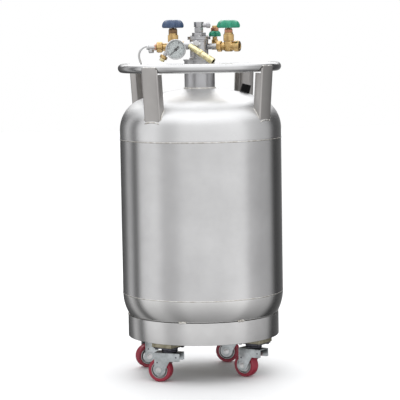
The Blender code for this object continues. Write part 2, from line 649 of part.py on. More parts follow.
# ---------------------------------------------------------------- the whole object
def main():
    for old in list(bpy.data.objects):
        bpy.data.objects.remove(old)

    steel = finish("brushed_stainless", (0.62, 0.62, 0.61), 0.34, 1.0)
    bright = finish("bright_stainless", (0.72, 0.72, 0.72), 0.18, 1.0)
    zinc = finish("zinc_plate", (0.66, 0.68, 0.68), 0.38, 1.0)
    brass = finish("brass", (0.72, 0.50, 0.22), 0.30, 1.0)
    copper = finish("copper", (0.72, 0.38, 0.25), 0.35, 1.0)
    navy = finish("navy_paint", (0.02, 0.04, 0.12), 0.40, 0.0)
    green = finish("green_paint", (0.01, 0.30, 0.17), 0.40, 0.0)
    black = finish("black_plastic", (0.01, 0.01, 0.01), 0.45, 0.0)
    enamel = finish("dial_enamel", (0.85, 0.86, 0.82), 0.50, 0.0)
    glass = finish("lens_glass", (0.95, 0.97, 0.97), 0.05, 0.0)
    red = finish("red_polyurethane", (0.45, 0.02, 0.06), 0.40, 0.0)
    foil = finish("insulation_foil", (0.80, 0.80, 0.82), 0.30, 1.0)

    make_casing(steel)
    make_base(steel, zinc)
    make_inside(steel, foil, copper, black)
    make_handle(steel)
    make_neck(steel, black)
    make_gauge(bright, enamel, black, glass, brass)
    nipple = HEAD_R + 0.0006
    pressure_ends = (nipple, 0.0480, 0.1320)
    make_globe_valve("pressure_valve", 180.0, PRESSURE_VALVE_REACH, pressure_ends, 1.0885,
                     (0.034, 0.0255), (brass, navy))
    liquid_ends = (nipple, 0.0620, 0.1330)
    make_globe_valve("liquid_valve", LIQUID_VALVE_TURN, LIQUID_VALVE_REACH, liquid_ends, 1.0860,
                     (0.036, 0.0245), (brass, green))
    make_vent_valve(brass, green)
    make_pressure_tube(bright)
    for number, azimuth in enumerate(CASTER_AZIMUTHS, start=1):
        make_caster(number, azimuth, CASTER_HEADINGS[number - 1], zinc, bright, red)


main()
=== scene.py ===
"""Looks of the liquid nitrogen dewar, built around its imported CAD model.  Metres, +Z up."""
import math
import random

import bmesh
import bpy
from mathutils import Matrix, Vector


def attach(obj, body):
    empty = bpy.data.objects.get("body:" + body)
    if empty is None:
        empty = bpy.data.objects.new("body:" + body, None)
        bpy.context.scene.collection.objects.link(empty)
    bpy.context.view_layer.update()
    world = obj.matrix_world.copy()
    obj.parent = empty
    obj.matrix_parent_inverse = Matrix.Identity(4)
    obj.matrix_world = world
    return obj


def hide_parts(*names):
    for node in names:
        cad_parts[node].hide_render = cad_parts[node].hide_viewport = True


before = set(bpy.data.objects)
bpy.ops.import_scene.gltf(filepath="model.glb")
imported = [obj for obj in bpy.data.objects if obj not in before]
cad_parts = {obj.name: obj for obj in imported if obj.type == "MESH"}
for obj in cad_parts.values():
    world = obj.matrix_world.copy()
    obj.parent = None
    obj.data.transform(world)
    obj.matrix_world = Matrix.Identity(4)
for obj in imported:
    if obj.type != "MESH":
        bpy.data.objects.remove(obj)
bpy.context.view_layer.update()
ROOT = "vessel"

# Driving sizes, the same as the CAD model's
BODY_R, WALL = 0.253, 0.003
SEAM_HIGH, SEAM_LOW = 0.744, 0.262
DOME_FLANGE, CROWN_R, KNUCKLE_R = 0.030, 0.540, 0.101
LOW_KNUCKLE_R, LOW_TURN_R = 0.1356, 0.050
LOW_TURN_START, LOW_TURN_END = math.radians(27.2), math.radians(75.0)
SKIRT_R, SKIRT_TOP, SKIRT_BOTTOM = 0.238, 0.193, 0.1247
NECK_R, NECK_TOP, NECK_TUBE_R = 0.0475, 0.991, 0.030
RING_R, RING_TUBE_R, RING_Z = 0.2415, 0.014, 0.966
LEG_AZIMUTHS = (-36.5, 53.5, 143.5, -126.5)
LEG_WIDTH, LEG_DEPTH = 0.060, 0.025
LEG_TOP, LEG_FOOT = (0.2598, 0.970), (0.2470, 0.808)
HEAD_R, HEAD_TOP = 0.0285, 1.0517
VALVE_Z = 1.030
SWIVEL_R, TRAIL, WHEEL_R = 0.188, 0.030, 0.0375
FORK_HALF, FORK_SHEET, FORK_TOP, PLATE_TOP = 0.0215, 0.0025, 0.093, 0.1119
CASTER_AZIMUTHS = (-34.5, 55.5, 145.5, -124.5)
CASTER_HEADINGS = (160.0, 142.0, 166.0, 200.0)

# Levels and places in the head, the plug on it, the evacuation port and the pressure tube
HEAD_BORE, FLANGE_TOP, RING_NUT_TOP = 0.0125, 1.0612, 1.0735
PLUG_FOOT, PLUG_CORE_TOP, PLUG_TOP = 1.0738, 1.1064, 1.1070
PORT_R = 0.140
TUBE_START_X, TUBE_FOOT_X = -0.150, -0.160

# The camera at the photograph's viewing angle, and the sky's brightness
CAMERA_PITCH, CAMERA_ROLL = math.radians(5.44), math.radians(0.95)
CAMERA_PLACE, CAMERA_SENSOR, CAMERA_LENS = (-0.0052, -5.5, 1.072), 36.0, 157.73
SKY_STRENGTH, SKY_OVERHEAD = 1.07, (1.55, 1.56, 1.58, 1)


# ------------------------------------------------------------------ node materials
class Paint:
    """A Principled material and its node tree, with short helpers for texture nodes."""

    def __init__(self, name, colour, roughness, metallic=0.0, **sockets):
        self.made = bpy.data.materials.new(name)
        self.made.use_nodes = True
        self.nodes = self.made.node_tree.nodes
        self.links = self.made.node_tree.links
        self.shader = self.nodes["Principled BSDF"]
        self.shader.inputs["Base Color"].default_value = (*colour, 1.0)
        self.shader.inputs["Roughness"].default_value = roughness
        self.shader.inputs["Metallic"].default_value = metallic
        for socket, value in sockets.items():
            self.shader.inputs[socket.replace("_", " ")].default_value = value
        self.place = self.nodes.new("ShaderNodeTexCoord").outputs["Object"]

    def stretched(self, scale):
        """Object coordinates scaled differently along each axis."""
        node = self.nodes.new("ShaderNodeMapping")
        node.inputs["Scale"].default_value = scale
        self.links.new(self.place, node.inputs["Vector"])
        return node.outputs["Vector"]

    def noise(self, scale, detail=4.0, stretch=None, roughness=0.55):
        node = self.nodes.new("ShaderNodeTexNoise")
        node.inputs["Scale"].default_value = scale
        node.inputs["Detail"].default_value = detail
        node.inputs["Roughness"].default_value = roughness
        self.links.new(self.stretched(stretch) if stretch else self.place, node.inputs["Vector"])
        return node.outputs["Fac"]

    def ramp(self, factor, stops):
        """A colour ramp; each stop is (place, grey or colour)."""
        node = self.nodes.new("ShaderNodeValToRGB")
        elements = node.color_ramp.elements
        while len(elements) < len(stops):
            elements.new(0.5)
        for element, (place, colour) in zip(elements, stops):
            colour = (colour,) * 3 if isinstance(colour, (int, float)) else colour
            element.position = place
            element.color = (*colour, 1.0)
        self.links.new(factor, node.inputs["Fac"])
        return node.outputs["Color"]

    def mix(self, factor, one, two, mode="MIX"):
        node = self.nodes.new("ShaderNodeMix")
        node.data_type = "RGBA"
        node.blend_type = mode
        for socket, value in ((node.inputs[0], factor), (node.inputs[6], one), (node.inputs[7], two)):
            if isinstance(value, bpy.types.NodeSocket):
                self.links.new(value, socket)
            elif isinstance(value, tuple):
                socket.default_value = (*value, 1.0)
            else:
                socket.default_value = value
        return node.outputs[2]

    def colour(self, source):
        self.links.new(source, self.shader.inputs["Base Color"])

    def rough(self, factor, low, high):
        node = self.nodes.new("ShaderNodeMapRange")
        node.inputs["To Min"].default_value = low
        node.inputs["To Max"].default_value = high
        self.links.new(factor, node.inputs["Value"])
        self.links.new(node.outputs["Result"], self.shader.inputs["Roughness"])

    def above(self, low, high):
        """0 below one height and 1 above the other."""
        split = self.nodes.new("ShaderNodeSeparateXYZ")
        self.links.new(self.place, split.inputs["Vector"])
        node = self.nodes.new("ShaderNodeMapRange")
        node.inputs["From Min"].default_value = low
        node.inputs["From Max"].default_value = high
        self.links.new(split.outputs["Z"], node.inputs["Value"])
        return node.outputs["Result"]

    def bump(self, height, strength, distance):
        node = self.nodes.new("ShaderNodeBump")
        node.inputs["Strength"].default_value = strength
        node.inputs["Distance"].default_value = distance
        before = self.shader.inputs["Normal"].links
        if before:
            self.links.new(before[0].from_socket, node.inputs["Normal"])
        self.links.new(height, node.inputs["Height"])
        self.links.new(node.outputs["Normal"], self.shader.inputs["Normal"])

    def worn_edges(self, base, bare, amount=1.0):
        """Mix a bare colour in where the surface turns sharply outwards."""
        geometry = self.nodes.new("ShaderNodeNewGeometry")
        edge = self.ramp(geometry.outputs["Pointiness"], [(0.52, 0.0), (0.58, amount)])
        broken = self.ramp(self.noise(180.0), [(0.42, 0.0), (0.62, 1.0)])
        return self.mix(self.mix(1.0, edge, broken, "MULTIPLY"), base, bare)


def brushed(name, colour, low, high, stretch, smudge=0.16, wave=0.12, satin=None):
    """Steel with fine parallel brushing, faint handling smudges and slow waviness of the sheet.

    A satin pair of heights leaves the sheet below them glossier and the sheet above duller.
    """
    paint = Paint(name, colour, low, 1.0)
    grain = paint.noise(1.0, 3.0, stretch, 0.7)
    cloud = paint.noise(6.0, 5.0)
    dark = tuple(c * (1.0 - smudge) for c in colour)
    paint.colour(paint.mix(paint.ramp(cloud, [(0.35, 0.0), (0.70, 1.0)]), colour, dark))
    finish = paint.mix(0.55, grain, cloud)
    if satin:
        finish = paint.mix(1.0, finish, (0.45, 0.45, 0.45), "MULTIPLY")
        finish = paint.mix(paint.above(*satin), finish, paint.mix(1.0, finish, (0.55, 0.55, 0.55), "ADD"))
    paint.rough(finish, low, high)
    paint.bump(grain, 0.10, 0.0004)
    paint.bump(paint.noise(9.0, 1.0), wave, 0.0020)
    return paint.made


def cast_metal(name, colour, dark, low, high, grit=420.0):
    """Machined or cast metal with tarnish in its hollows and a fine tooling grain."""
    paint = Paint(name, colour, low, 1.0)
    cloud = paint.noise(70.0, 6.0)
    stained = paint.mix(paint.ramp(cloud, [(0.38, 0.0), (0.72, 1.0)]), colour, dark)
    paint.colour(stained)
    paint.rough(paint.noise(220.0, 4.0), low, high)
    paint.bump(paint.noise(grit, 3.0), 0.18, 0.0003)
    return paint.made


def enamel(name, colour, bare, low, high):
    """Painted casting with slight orange peel and wear on its proud edges."""
    paint = Paint(name, colour, low, 0.0, Coat_Weight=0.35, Coat_Roughness=0.18)
    shade = paint.mix(paint.ramp(paint.noise(60.0), [(0.3, 0.0), (0.75, 1.0)]), colour,
                      tuple(c * 0.72 for c in colour))
    paint.colour(paint.worn_edges(shade, bare, 0.8))
    paint.rough(paint.noise(150.0), low, high)
    paint.bump(paint.noise(520.0, 2.0), 0.16, 0.0003)
    return paint.made


def make_materials():
    made = {}
    made["casing"] = brushed("casing_steel", (0.605, 0.603, 0.603), 0.17, 0.27, (2.0, 2.0, 900.0), 0.14, 0.06)
    # Painted light: the bottom head is a lighter copy of the casing steel, brightening it against the shade
    # low on the body.
    made["low_head"] = brushed("bottom_steel_painted_light", (0.66, 0.655, 0.645), 0.17, 0.27, (2.0, 2.0, 900.0), 0.14,
                               0.06)
    # Painted light: the skirt is a lighter copy of the casing steel, brightening it against the shade low on
    # the body.
    made["skirt"] = brushed("skirt_steel_painted_light", (0.64, 0.635, 0.63), 0.18, 0.30, (2.0, 2.0, 900.0), 0.20, 0.08)
    # Painted light: the dome is a lighter copy of the casing steel, so that its lit top comes out white.
    made["dome"] = brushed("dome_steel_painted_light", (0.70, 0.70, 0.70), 0.19, 0.50, (60.0, 60.0, 500.0), 0.08, 0.08,
                           (0.805, 0.840))
    made["leg"] = brushed("leg_steel", (0.46, 0.445, 0.43), 0.24, 0.38, (700.0, 700.0, 9.0))
    # Painted shade: the ring is a slightly darker copy of the casing steel, toning down its lit top.
    made["ring"] = brushed("ring_steel_painted_shade", (0.59, 0.59, 0.59), 0.16, 0.30, (40.0, 40.0, 700.0), 0.10)
    made["neck"] = brushed("neck_steel", (0.54, 0.54, 0.55), 0.30, 0.44, (8.0, 8.0, 1100.0))
    # Painted shade: the plug, the head's ring nut and the plug stub take a darker copy of the steel, standing
    # in for their shadows.
    made["plug"] = brushed("plug_steel_painted_shade", (0.44, 0.44, 0.45), 0.28, 0.42, (300.0, 300.0, 900.0))
    # Painted shadow: near-black metal for the liners inside the valve outlets, standing in for the shade deep
    # in the bores.
    made["bore"] = cast_metal("bore_painted_shadow", (0.045, 0.035, 0.022), (0.02, 0.015, 0.01), 0.55, 0.75)
    made["bright"] = brushed("fitting_steel", (0.62, 0.62, 0.62), 0.24, 0.36, (300.0, 300.0, 900.0))
    made["weld"] = cast_metal("weld_bead", (0.74, 0.73, 0.70), (0.42, 0.38, 0.33), 0.24, 0.45, 900.0)
    made["brass"] = cast_metal("valve_brass", (0.68, 0.475, 0.215), (0.42, 0.27, 0.11), 0.20, 0.40)
    made["pale_brass"] = cast_metal("relief_brass", (0.90, 0.83, 0.56), (0.58, 0.48, 0.20), 0.18, 0.34)
    made["dark_brass"] = cast_metal("gland_brass", (0.26, 0.165, 0.095), (0.15, 0.09, 0.05), 0.28, 0.46)
    made["copper"] = cast_metal("copper_nut", (0.58, 0.29, 0.18), (0.34, 0.155, 0.095), 0.24, 0.42)
    made["tube_copper"] = cast_metal("coil_copper", (0.70, 0.38, 0.26), (0.46, 0.22, 0.14), 0.26, 0.44)
    made["zinc"] = cast_metal("zinc_plate", (0.52, 0.55, 0.56), (0.34, 0.37, 0.37), 0.24, 0.40, 260.0)
    # Painted shade: near-black zinc for the caster plates, their nuts and swivel races, standing in for the
    # shadow under the skirt; the fork rivets and axles use it too.
    made["dark_zinc_painted_shade"] = cast_metal("dark_plate_painted_shade", (0.12, 0.12, 0.14), (0.06, 0.06, 0.07), 0.34, 0.55, 260.0)
    made["frame_paint"] = cast_metal("frame_steel", (0.40, 0.37, 0.28), (0.24, 0.22, 0.15), 0.40, 0.60)
    made["navy"] = enamel("navy_enamel", (0.032, 0.070, 0.155), (0.12, 0.17, 0.26), 0.26, 0.42)
    made["green"] = enamel("green_enamel", (0.000, 0.275, 0.150), (0.07, 0.46, 0.31), 0.26, 0.42)
    made["foil"] = cast_metal("insulation_foil", (0.80, 0.80, 0.82), (0.60, 0.60, 0.64), 0.18, 0.36, 60.0)
    made["needle"] = enamel("needle_enamel", (0.010, 0.010, 0.012), (0.03, 0.03, 0.03), 0.35, 0.50)
    made["ink"] = enamel("dial_ink", (0.012, 0.012, 0.015), (0.012, 0.012, 0.015), 0.45, 0.60)

    plastic = Paint("cap_plastic", (0.006, 0.006, 0.007), 0.5, 0.0, Specular_IOR_Level=0.12)
    plastic.colour(plastic.ramp(plastic.noise(90.0), [(0.3, 0.002), (0.8, 0.006)]))
    plastic.rough(plastic.noise(240.0), 0.38, 0.60)
    plastic.bump(plastic.noise(1400.0, 2.0), 0.25, 0.0002)
    made["plastic"] = plastic.made

    granules = Paint("adsorbent_granules", (0.03, 0.03, 0.03), 0.8)
    granules.colour(granules.ramp(granules.noise(500.0), [(0.3, 0.01), (0.8, 0.09)]))
    granules.bump(granules.noise(700.0), 0.7, 0.0010)
    made["granules"] = granules.made

    tread = Paint("red_polyurethane", (0.26, 0.006, 0.026), 0.40, 0.0, Coat_Weight=0.08)
    dusty = tread.ramp(tread.noise(55.0, 6.0), [(0.48, 0.0), (0.80, 0.45)])
    tread.colour(tread.mix(dusty, (0.27, 0.006, 0.027), (0.14, 0.028, 0.036)))
    tread.rough(tread.noise(120.0), 0.26, 0.52)
    tread.bump(tread.noise(800.0, 3.0), 0.20, 0.0003)
    made["tread"] = tread.made

    dial = Paint("dial_face", (0.86, 0.87, 0.83), 0.4)
    dial.colour(dial.ramp(dial.noise(40.0), [(0.2, (0.44, 0.475, 0.47)), (0.8, (0.50, 0.53, 0.525))]))
    dial.rough(dial.noise(200.0), 0.32, 0.46)
    made["dial"] = dial.made

    glass = Paint("gauge_glass", (0.96, 0.98, 0.98), 0.03, 0.0, IOR=1.30, Alpha=0.035)
    glass.rough(glass.noise(80.0), 0.02, 0.07)
    made["glass"] = glass.made

    ground = Paint("studio_floor", (0.80, 0.80, 0.80), 0.6)
    ground.colour(ground.ramp(ground.noise(3.0), [(0.3, 0.87), (0.7, 0.89)]))
    ground.rough(ground.noise(12.0), 0.50, 0.62)
    made["floor"] = ground.made
    return made


SURFACE = make_materials()


# ------------------------------------------------------------------ mesh helpers
def put(name, bm, surface, placed=None, bevel=0.0, sharp=40.0):
    """Make a named object from a bmesh, with its edges rounded by a bevel."""
    bmesh.ops.recalc_face_normals(bm, faces=bm.faces)
    if bevel:
        limit = math.radians(28.0)
        edges = [e for e in bm.edges if len(e.link_faces) == 2 and e.calc_face_angle() > limit]
        bmesh.ops.bevel(bm, geom=edges, offset=bevel, segments=3, profile=0.5, affect="EDGES",
                        clamp_overlap=True)
    mesh = bpy.data.meshes.new(name)
    bm.to_mesh(mesh)
    bm.free()
    mesh.materials.append(SURFACE[surface])
    mesh.shade_smooth()
    mesh.set_sharp_from_angle(angle=math.radians(sharp))
    made = bpy.data.objects.new(name, mesh)
    bpy.context.scene.collection.objects.link(made)
    made.matrix_world = placed or Matrix.Identity(4)
    return made


def rounded(profile, radius, steps=3, closed=True):
    """Round the corners of a (radius, height) outline with small arcs."""
    points = [Vector(point) for point in profile]
    count = len(points)
    result = []
    for index, point in enumerate(points):
        if not closed and index in (0, count - 1):
            result.append(tuple(point))
            continue
        before, after = points[index - 1] - point, points[(index + 1) % count] - point
        cut = min(radius, before.length * 0.45, after.length * 0.45)
        if cut < 1e-6 or before.angle(after) > math.radians(165.0):
            result.append(tuple(point))
            continue
        start, end = point + before.normalized() * cut, point + after.normalized() * cut
        for step in range(steps + 1):
            t = step / steps
            result.append(tuple(start * (1 - t) ** 2 + point * 2 * t * (1 - t) + end * t * t))
    return result


def turned(profile, sides, closed=True):
    """Spin a (radius, height) outline about Z; an open outline starts or ends on the axis."""
    bm = bmesh.new()
    verts = [bm.verts.new((max(r, 0.0), 0.0, z)) for r, z in profile]
    pairs = list(zip(verts, verts[1:]))
    if closed:
        pairs.append((verts[-1], verts[0]))
    edges = [bm.edges.new(pair) for pair in pairs]
    bmesh.ops.spin(bm, geom=verts + edges, cent=(0, 0, 0), axis=(0, 0, 1),
                   angle=math.tau, steps=sides, use_merge=True)
    bmesh.ops.remove_doubles(bm, verts=bm.verts, dist=1e-7)
    return bm


def prism(outline, low, high):
    """Raise a flat outline from one height to another."""
    bm = bmesh.new()
    base = bm.faces.new([bm.verts.new((x, y, low)) for x, y in outline])
    raised = bmesh.ops.extrude_face_region(bm, geom=[base])
    verts = [item for item in raised["geom"] if isinstance(item, bmesh.types.BMVert)]
    bmesh.ops.translate(bm, verts=verts, vec=(0, 0, high - low))
    return bm


def polygon(radius, sides, start=0.0):
    turns = [start + math.tau * step / sides for step in range(sides)]
    return [(radius * math.cos(turn), radius * math.sin(turn)) for turn in turns]


def hexagon(flats):
    return polygon(flats / math.sqrt(3.0), 6, math.radians(30.0))


def arc(centre, radius, start, end, steps):
    turns = [start + (end - start) * step / steps for step in range(steps + 1)]
    return [(centre[0] + radius * math.cos(t), centre[1] + radius * math.sin(t)) for t in turns]


def along(origin, direction):
    """A frame whose +Z runs along a direction."""
    turn = Vector(direction).to_track_quat("Z", "Y").to_matrix().to_4x4()
    return Matrix.Translation(origin) @ turn


def heading(azimuth):
    """A bearing's frame: local +X points outwards, degrees from the front towards +X."""
    return Matrix.Rotation(math.radians(azimuth - 90.0), 4, "Z")


def merge(name, pieces):
    """Join objects with one frame and one or more materials into a single object."""
    first = pieces[0]
    bm = bmesh.new()
    surfaces = []
    for piece in pieces:
        mesh = piece.data.copy()
        mesh.transform(first.matrix_world.inverted() @ piece.matrix_world)
        if mesh.materials[0] not in surfaces:
            surfaces.append(mesh.materials[0])
        slot = surfaces.index(mesh.materials[0])
        for face in mesh.polygons:
            face.material_index = slot
        bm.from_mesh(mesh)
    mesh = bpy.data.meshes.new(name)
    bm.to_mesh(mesh)
    bm.free()
    for surface in surfaces:
        mesh.materials.append(surface)
    mesh.shade_smooth()
    mesh.set_sharp_from_angle(angle=math.radians(40.0))
    made = bpy.data.objects.new(name, mesh)
    bpy.context.scene.collection.objects.link(made)
    made.matrix_world = first.matrix_world.copy()
    for piece in pieces:
        bpy.data.objects.remove(piece)
    return made


def stand_in(piece, body, slot, *nodes):
    """Ride on a body and hide the plain CAD nodes; slot is not used."""
    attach(piece, body)
    if nodes:
        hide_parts(*nodes)
    return piece


def nut(flats, low, high, surface, placed, bore=0.0, chamfer=0.0009):
    """A hexagon nut with softened edges, solid or with a round bore."""
    if bore:
        bm = bmesh.new()
        sides = 48
        rings = []
        for inner, level in ((False, low), (False, high), (True, high), (True, low)):
            ring = []
            for step in range(sides):
                turn = math.tau * step / sides
                facet = (turn + math.pi / 6) % (math.pi / 3) - math.pi / 6
                reach = bore if inner else flats / 2 / math.cos(facet)
                ring.append(bm.verts.new((reach * math.cos(turn), reach * math.sin(turn), level)))
            rings.append(ring)
        for one, two in zip(rings, rings[1:] + rings[:1]):
            for step in range(sides):
                after = (step + 1) % sides
                bm.faces.new((one[step], one[after], two[after], two[step]))
    else:
        bm = prism(hexagon(flats), low, high)
    return put("nut", bm, surface, placed, bevel=min(chamfer, (high - low) * 0.2))


def barrel(profile, surface, placed, sides=48, soft=0.0006, closed=False):
    """A turned fitting with softened corners."""
    return put("barrel", turned(rounded(profile, soft, 3, closed), sides, closed), surface, placed)


def rod(radius, low, high, surface, placed, *finish):
    """A plain turned cylinder with softened ends."""
    return barrel([(0.0, low), (radius, low), (radius, high), (0.0, high)], surface, placed, *finish)


def weld_ring(name, radius, height, width, placed=None, ripples=150, rise=0.55, tilt=0.0):
    """A weld bead around Z with overlapping ripples; tilt turns its section to sit in a corner."""
    sides, section = ripples * 4, 8
    bm = bmesh.new()
    rows = []
    for step in range(sides):
        turn = math.tau * step / sides
        phase = (step % 4) / 4.0
        swell = 1.0 + 0.16 * math.sin(math.pi * phase) + 0.07 * math.sin(turn * 7.3) * math.sin(turn * 3.1)
        row = []
        for corner in range(section):
            around = math.tau * corner / section
            out = width * rise * math.cos(around) * swell
            up = width * math.sin(around) * (0.92 + 0.08 * swell)
            reach = radius + out * math.cos(tilt) - up * math.sin(tilt)
            level = height + out * math.sin(tilt) + up * math.cos(tilt)
            row.append(bm.verts.new((reach * math.cos(turn), reach * math.sin(turn), level)))
        rows.append(row)
    for one, two in zip(rows, rows[1:] + rows[:1]):
        for corner in range(section):
            after = (corner + 1) % section
            bm.faces.new((one[corner], two[corner], two[after], one[after]))
    return put(name, bm, "weld", placed, sharp=80.0)


def bead(name, points, width, seed):
    """A short weld bead through a few points, lumpy along its length."""
    random.seed(seed)
    path = smooth_route(points, 10)
    return sweep(name, path, lambda t: width * (0.85 + 0.25 * random.random()) * min(1.0, 6 * t + 0.3,
                 6 * (1 - t) + 0.3), "weld", 8)


def smooth_route(points, steps):
    """Points on a smooth curve through the given points."""
    points = [Vector(point) for point in points]
    padded = [2 * points[0] - points[1], *points, 2 * points[-1] - points[-2]]
    route = []
    for index in range(len(points) - 1):
        a, b, c, d = padded[index:index + 4]
        for step in range(steps):
            t = step / steps
            bend = (2 * b + (c - a) * t + (2 * a - 5 * b + 4 * c - d) * t * t
                    + (3 * b - a - 3 * c + d) * t ** 3)
            route.append(bend / 2)
    route.append(points[-1])
    return route


def sweep(name, path, radius_at, surface, sides=16):
    """A round tube of changing radius along a path, closed at both ends."""
    bm = bmesh.new()
    rows = []
    side = None
    for index, point in enumerate(path):
        ahead = path[min(index + 1, len(path) - 1)] - path[max(index - 1, 0)]
        ahead.normalize()
        if side is None:
            side = ahead.orthogonal().normalized()
        side = (side - ahead * side.dot(ahead)).normalized()
        other = ahead.cross(side)
        radius = radius_at(index / (len(path) - 1))
        row = []
        for corner in range(sides):
            turn = math.tau * corner / sides
            row.append(bm.verts.new(point + (side * math.cos(turn) + other * math.sin(turn)) * radius))
        rows.append(row)
    for one, two in zip(rows, rows[1:]):
        for corner in range(sides):
            after = (corner + 1) % sides
            bm.faces.new((one[corner], one[after], two[after], two[corner]))
    bm.faces.new(rows[0][::-1])
    bm.faces.new(rows[-1])
    return put(name, bm, surface, sharp=60.0)


# ------------------------------------------------------------------ casing
def dome_outline(offset, knuckle_steps=22, crown_steps=14):
    knuckle = (BODY_R - KNUCKLE_R, SEAM_HIGH + DOME_FLANGE)
    between = CROWN_R - KNUCKLE_R
    meet = math.acos(knuckle[0] / between)
    crown = (0.0, knuckle[1] - between * math.sin(meet))
    flange = [(BODY_R + offset, SEAM_HIGH + DOME_FLANGE * step / 4) for step in range(4)]
    return flange + arc(knuckle, KNUCKLE_R + offset, 0.0, meet, knuckle_steps) + \
        arc(crown, CROWN_R + offset, meet, math.pi / 2, crown_steps)[1:]


def dome_height(radius):
    return dome_outline(0.0)[-1][1] - CROWN_R + math.sqrt(CROWN_R ** 2 - radius ** 2)


def shoulder_height(radius):
    """Height of the dome's outside at any radius."""
    if radius < (BODY_R - KNUCKLE_R) * CROWN_R / (CROWN_R - KNUCKLE_R):
        return dome_height(radius)
    rise = math.sqrt(max(KNUCKLE_R ** 2 - (radius - BODY_R + KNUCKLE_R) ** 2, 0.0))
    return SEAM_HIGH + DOME_FLANGE + rise


def low_head_outline(offset):
    knuckle = (BODY_R - LOW_KNUCKLE_R, SEAM_LOW)
    reach = LOW_KNUCKLE_R - LOW_TURN_R
    turn = (knuckle[0] + reach * math.cos(LOW_TURN_START), knuckle[1] - reach * math.sin(LOW_TURN_START))
    edge = turn[0] + LOW_TURN_R * math.cos(LOW_TURN_END)
    crown_r = edge / math.cos(LOW_TURN_END)
    top = turn[1] + (crown_r - LOW_TURN_R) * math.sin(LOW_TURN_END)
    return arc(knuckle, LOW_KNUCKLE_R + offset, 0.0, -LOW_TURN_START, 10) + \
        arc(turn, LOW_TURN_R + offset, -LOW_TURN_START, -LOW_TURN_END, 12)[1:] + \
        arc((0.0, top), crown_r + offset, -LOW_TURN_END, -math.pi / 2, 10)[1:]


def make_casing():
    sides = 224
    lip = 0.0007
    inner = BODY_R - WALL
    rows = 12
    span = SEAM_HIGH - SEAM_LOW - 2 * lip
    outside = [(BODY_R, SEAM_LOW + lip + span * row / rows) for row in range(rows + 1)]
    profile = [(inner, SEAM_LOW), (BODY_R - lip, SEAM_LOW)] + outside + [(BODY_R - lip, SEAM_HIGH),
                                                                      (inner, SEAM_HIGH)]
    stand_in(put("casing_tube", turned(profile, sides), "casing"), ROOT, "stainless", "outer_shell")

    hole = NECK_R - WALL
    outside = [p for p in dome_outline(0.0) if p[0] > hole] + [(hole, dome_height(hole))]
    inside = [p for p in dome_outline(-WALL) if p[0] > hole] + [(hole, dome_height(hole) - WALL)]
    outside[0] = (BODY_R - lip, SEAM_HIGH + 0.0002)
    outside.insert(1, (BODY_R, SEAM_HIGH + 2 * lip))
    stand_in(put("dome_shell", turned(outside + inside[::-1], sides), "dome"), ROOT, "stainless", "top_dome")
    stand_in(weld_ring("weld_high", BODY_R - 0.0002, SEAM_HIGH, 0.0019), ROOT, "stainless")
    stand_in(weld_ring("weld_low", BODY_R - 0.0002, SEAM_LOW, 0.0017), ROOT, "stainless")

    outside = low_head_outline(0.0)
    inside = low_head_outline(-WALL)
    outside[0] = (BODY_R - lip, SEAM_LOW - 0.0002)
    outside.insert(1, (BODY_R, SEAM_LOW - 2 * lip))
    stand_in(put("low_head", turned(inside[::-1] + outside, sides, closed=False), "low_head"),
             ROOT, "stainless", "bottom_head")

    profile = [(SKIRT_R - WALL, SKIRT_BOTTOM), (SKIRT_R, SKIRT_BOTTOM), (SKIRT_R, SKIRT_TOP),
               (SKIRT_R - WALL, SKIRT_TOP)]
    stand_in(put("skirt_band", turned(rounded(profile, 0.0010), sides), "skirt"), ROOT, "stainless",
             "base_skirt")
    for index, (centre, half) in enumerate(((-16.0, 3.0), (28.0, 1.8), (30.5, 1.0), (95.0, 3.0), (140.0, 2.6),
                                            (185.0, 3.2), (230.0, 2.4), (275.0, 2.8))):
        points = [heading(centre + half * t) @ Vector((SKIRT_R - 0.0016, 0,
                                                       SKIRT_TOP + 0.0012 + 0.0008 * math.sin(5 * t)))
                  for t in (-1, -0.4, 0.2, 1)]
        stand_in(bead(f"skirt_weld_{index + 1}", points, 0.0031, index), ROOT, "stainless")


make_casing()


# ------------------------------------------------------------------ handle ring, legs and neck
def make_handle():
    section = arc((RING_R, RING_Z), RING_TUBE_R, 0.0, math.tau, 28)[:-1]
    stand_in(put("ring_tube", turned(section, 200), "ring"), ROOT, "stainless", "handle_ring")

    lean = math.atan2(LEG_TOP[0] - LEG_FOOT[0], LEG_TOP[1] - LEG_FOOT[1])
    half, fold = LEG_WIDTH / 2, 0.0055

    def channel(inset):
        """Folded section of the channel, from one flange tip round to the other."""
        reach, turn = half - inset, fold - inset
        points = [(-LEG_DEPTH, -reach)]
        points += [(-inset - turn + turn * math.sin(t), -reach + turn - turn * math.cos(t))
                   for t in (math.pi / 2 * s / 5 for s in range(6))]
        points += [(x, -y) for x, y in points[::-1]]
        return points

    outline = channel(0.0) + channel(WALL)[::-1]
    rows = 26
    for number, azimuth in enumerate(LEG_AZIMUTHS, start=1):
        stand = heading(azimuth) @ Matrix.Translation((LEG_TOP[0], 0, LEG_TOP[1])) @ Matrix.Rotation(lean, 4,
                                                                                                     "Y")
        bm = bmesh.new()
        grid = []
        for row in range(rows + 1):
            line = []
            for x, y in outline:
                top = 0.0 if x > -WALL - 1e-4 and abs(y) < half - 0.0028 else \
                    -0.006 if x > -fold else -0.0225
                foot = -0.150
                for _ in range(12):
                    spot = stand @ Vector((x, y, foot))
                    ground = shoulder_height(math.hypot(spot.x, spot.y)) + 0.0006
                    foot += (ground - spot.z) * 0.7
                line.append(bm.verts.new((x, y, foot + (top - foot) * row / rows)))
            grid.append(line)
        count = len(outline)
        for one, two in zip(grid, grid[1:]):
            for index in range(count):
                after = (index + 1) % count
                bm.faces.new((one[index], one[after], two[after], two[index]))
        for line in (grid[0], grid[-1]):
            for index in range(count // 2 - 1):
                bm.faces.new((line[index], line[index + 1], line[count - 2 - index], line[count - 1 - index]))
        leg = put(f"leg_channel_{number}", bm, "leg", stand, bevel=0.0005)
        stand_in(leg, ROOT, "stainless", f"ring_leg_{number}")
        make_leg_welds(number, stand, half)


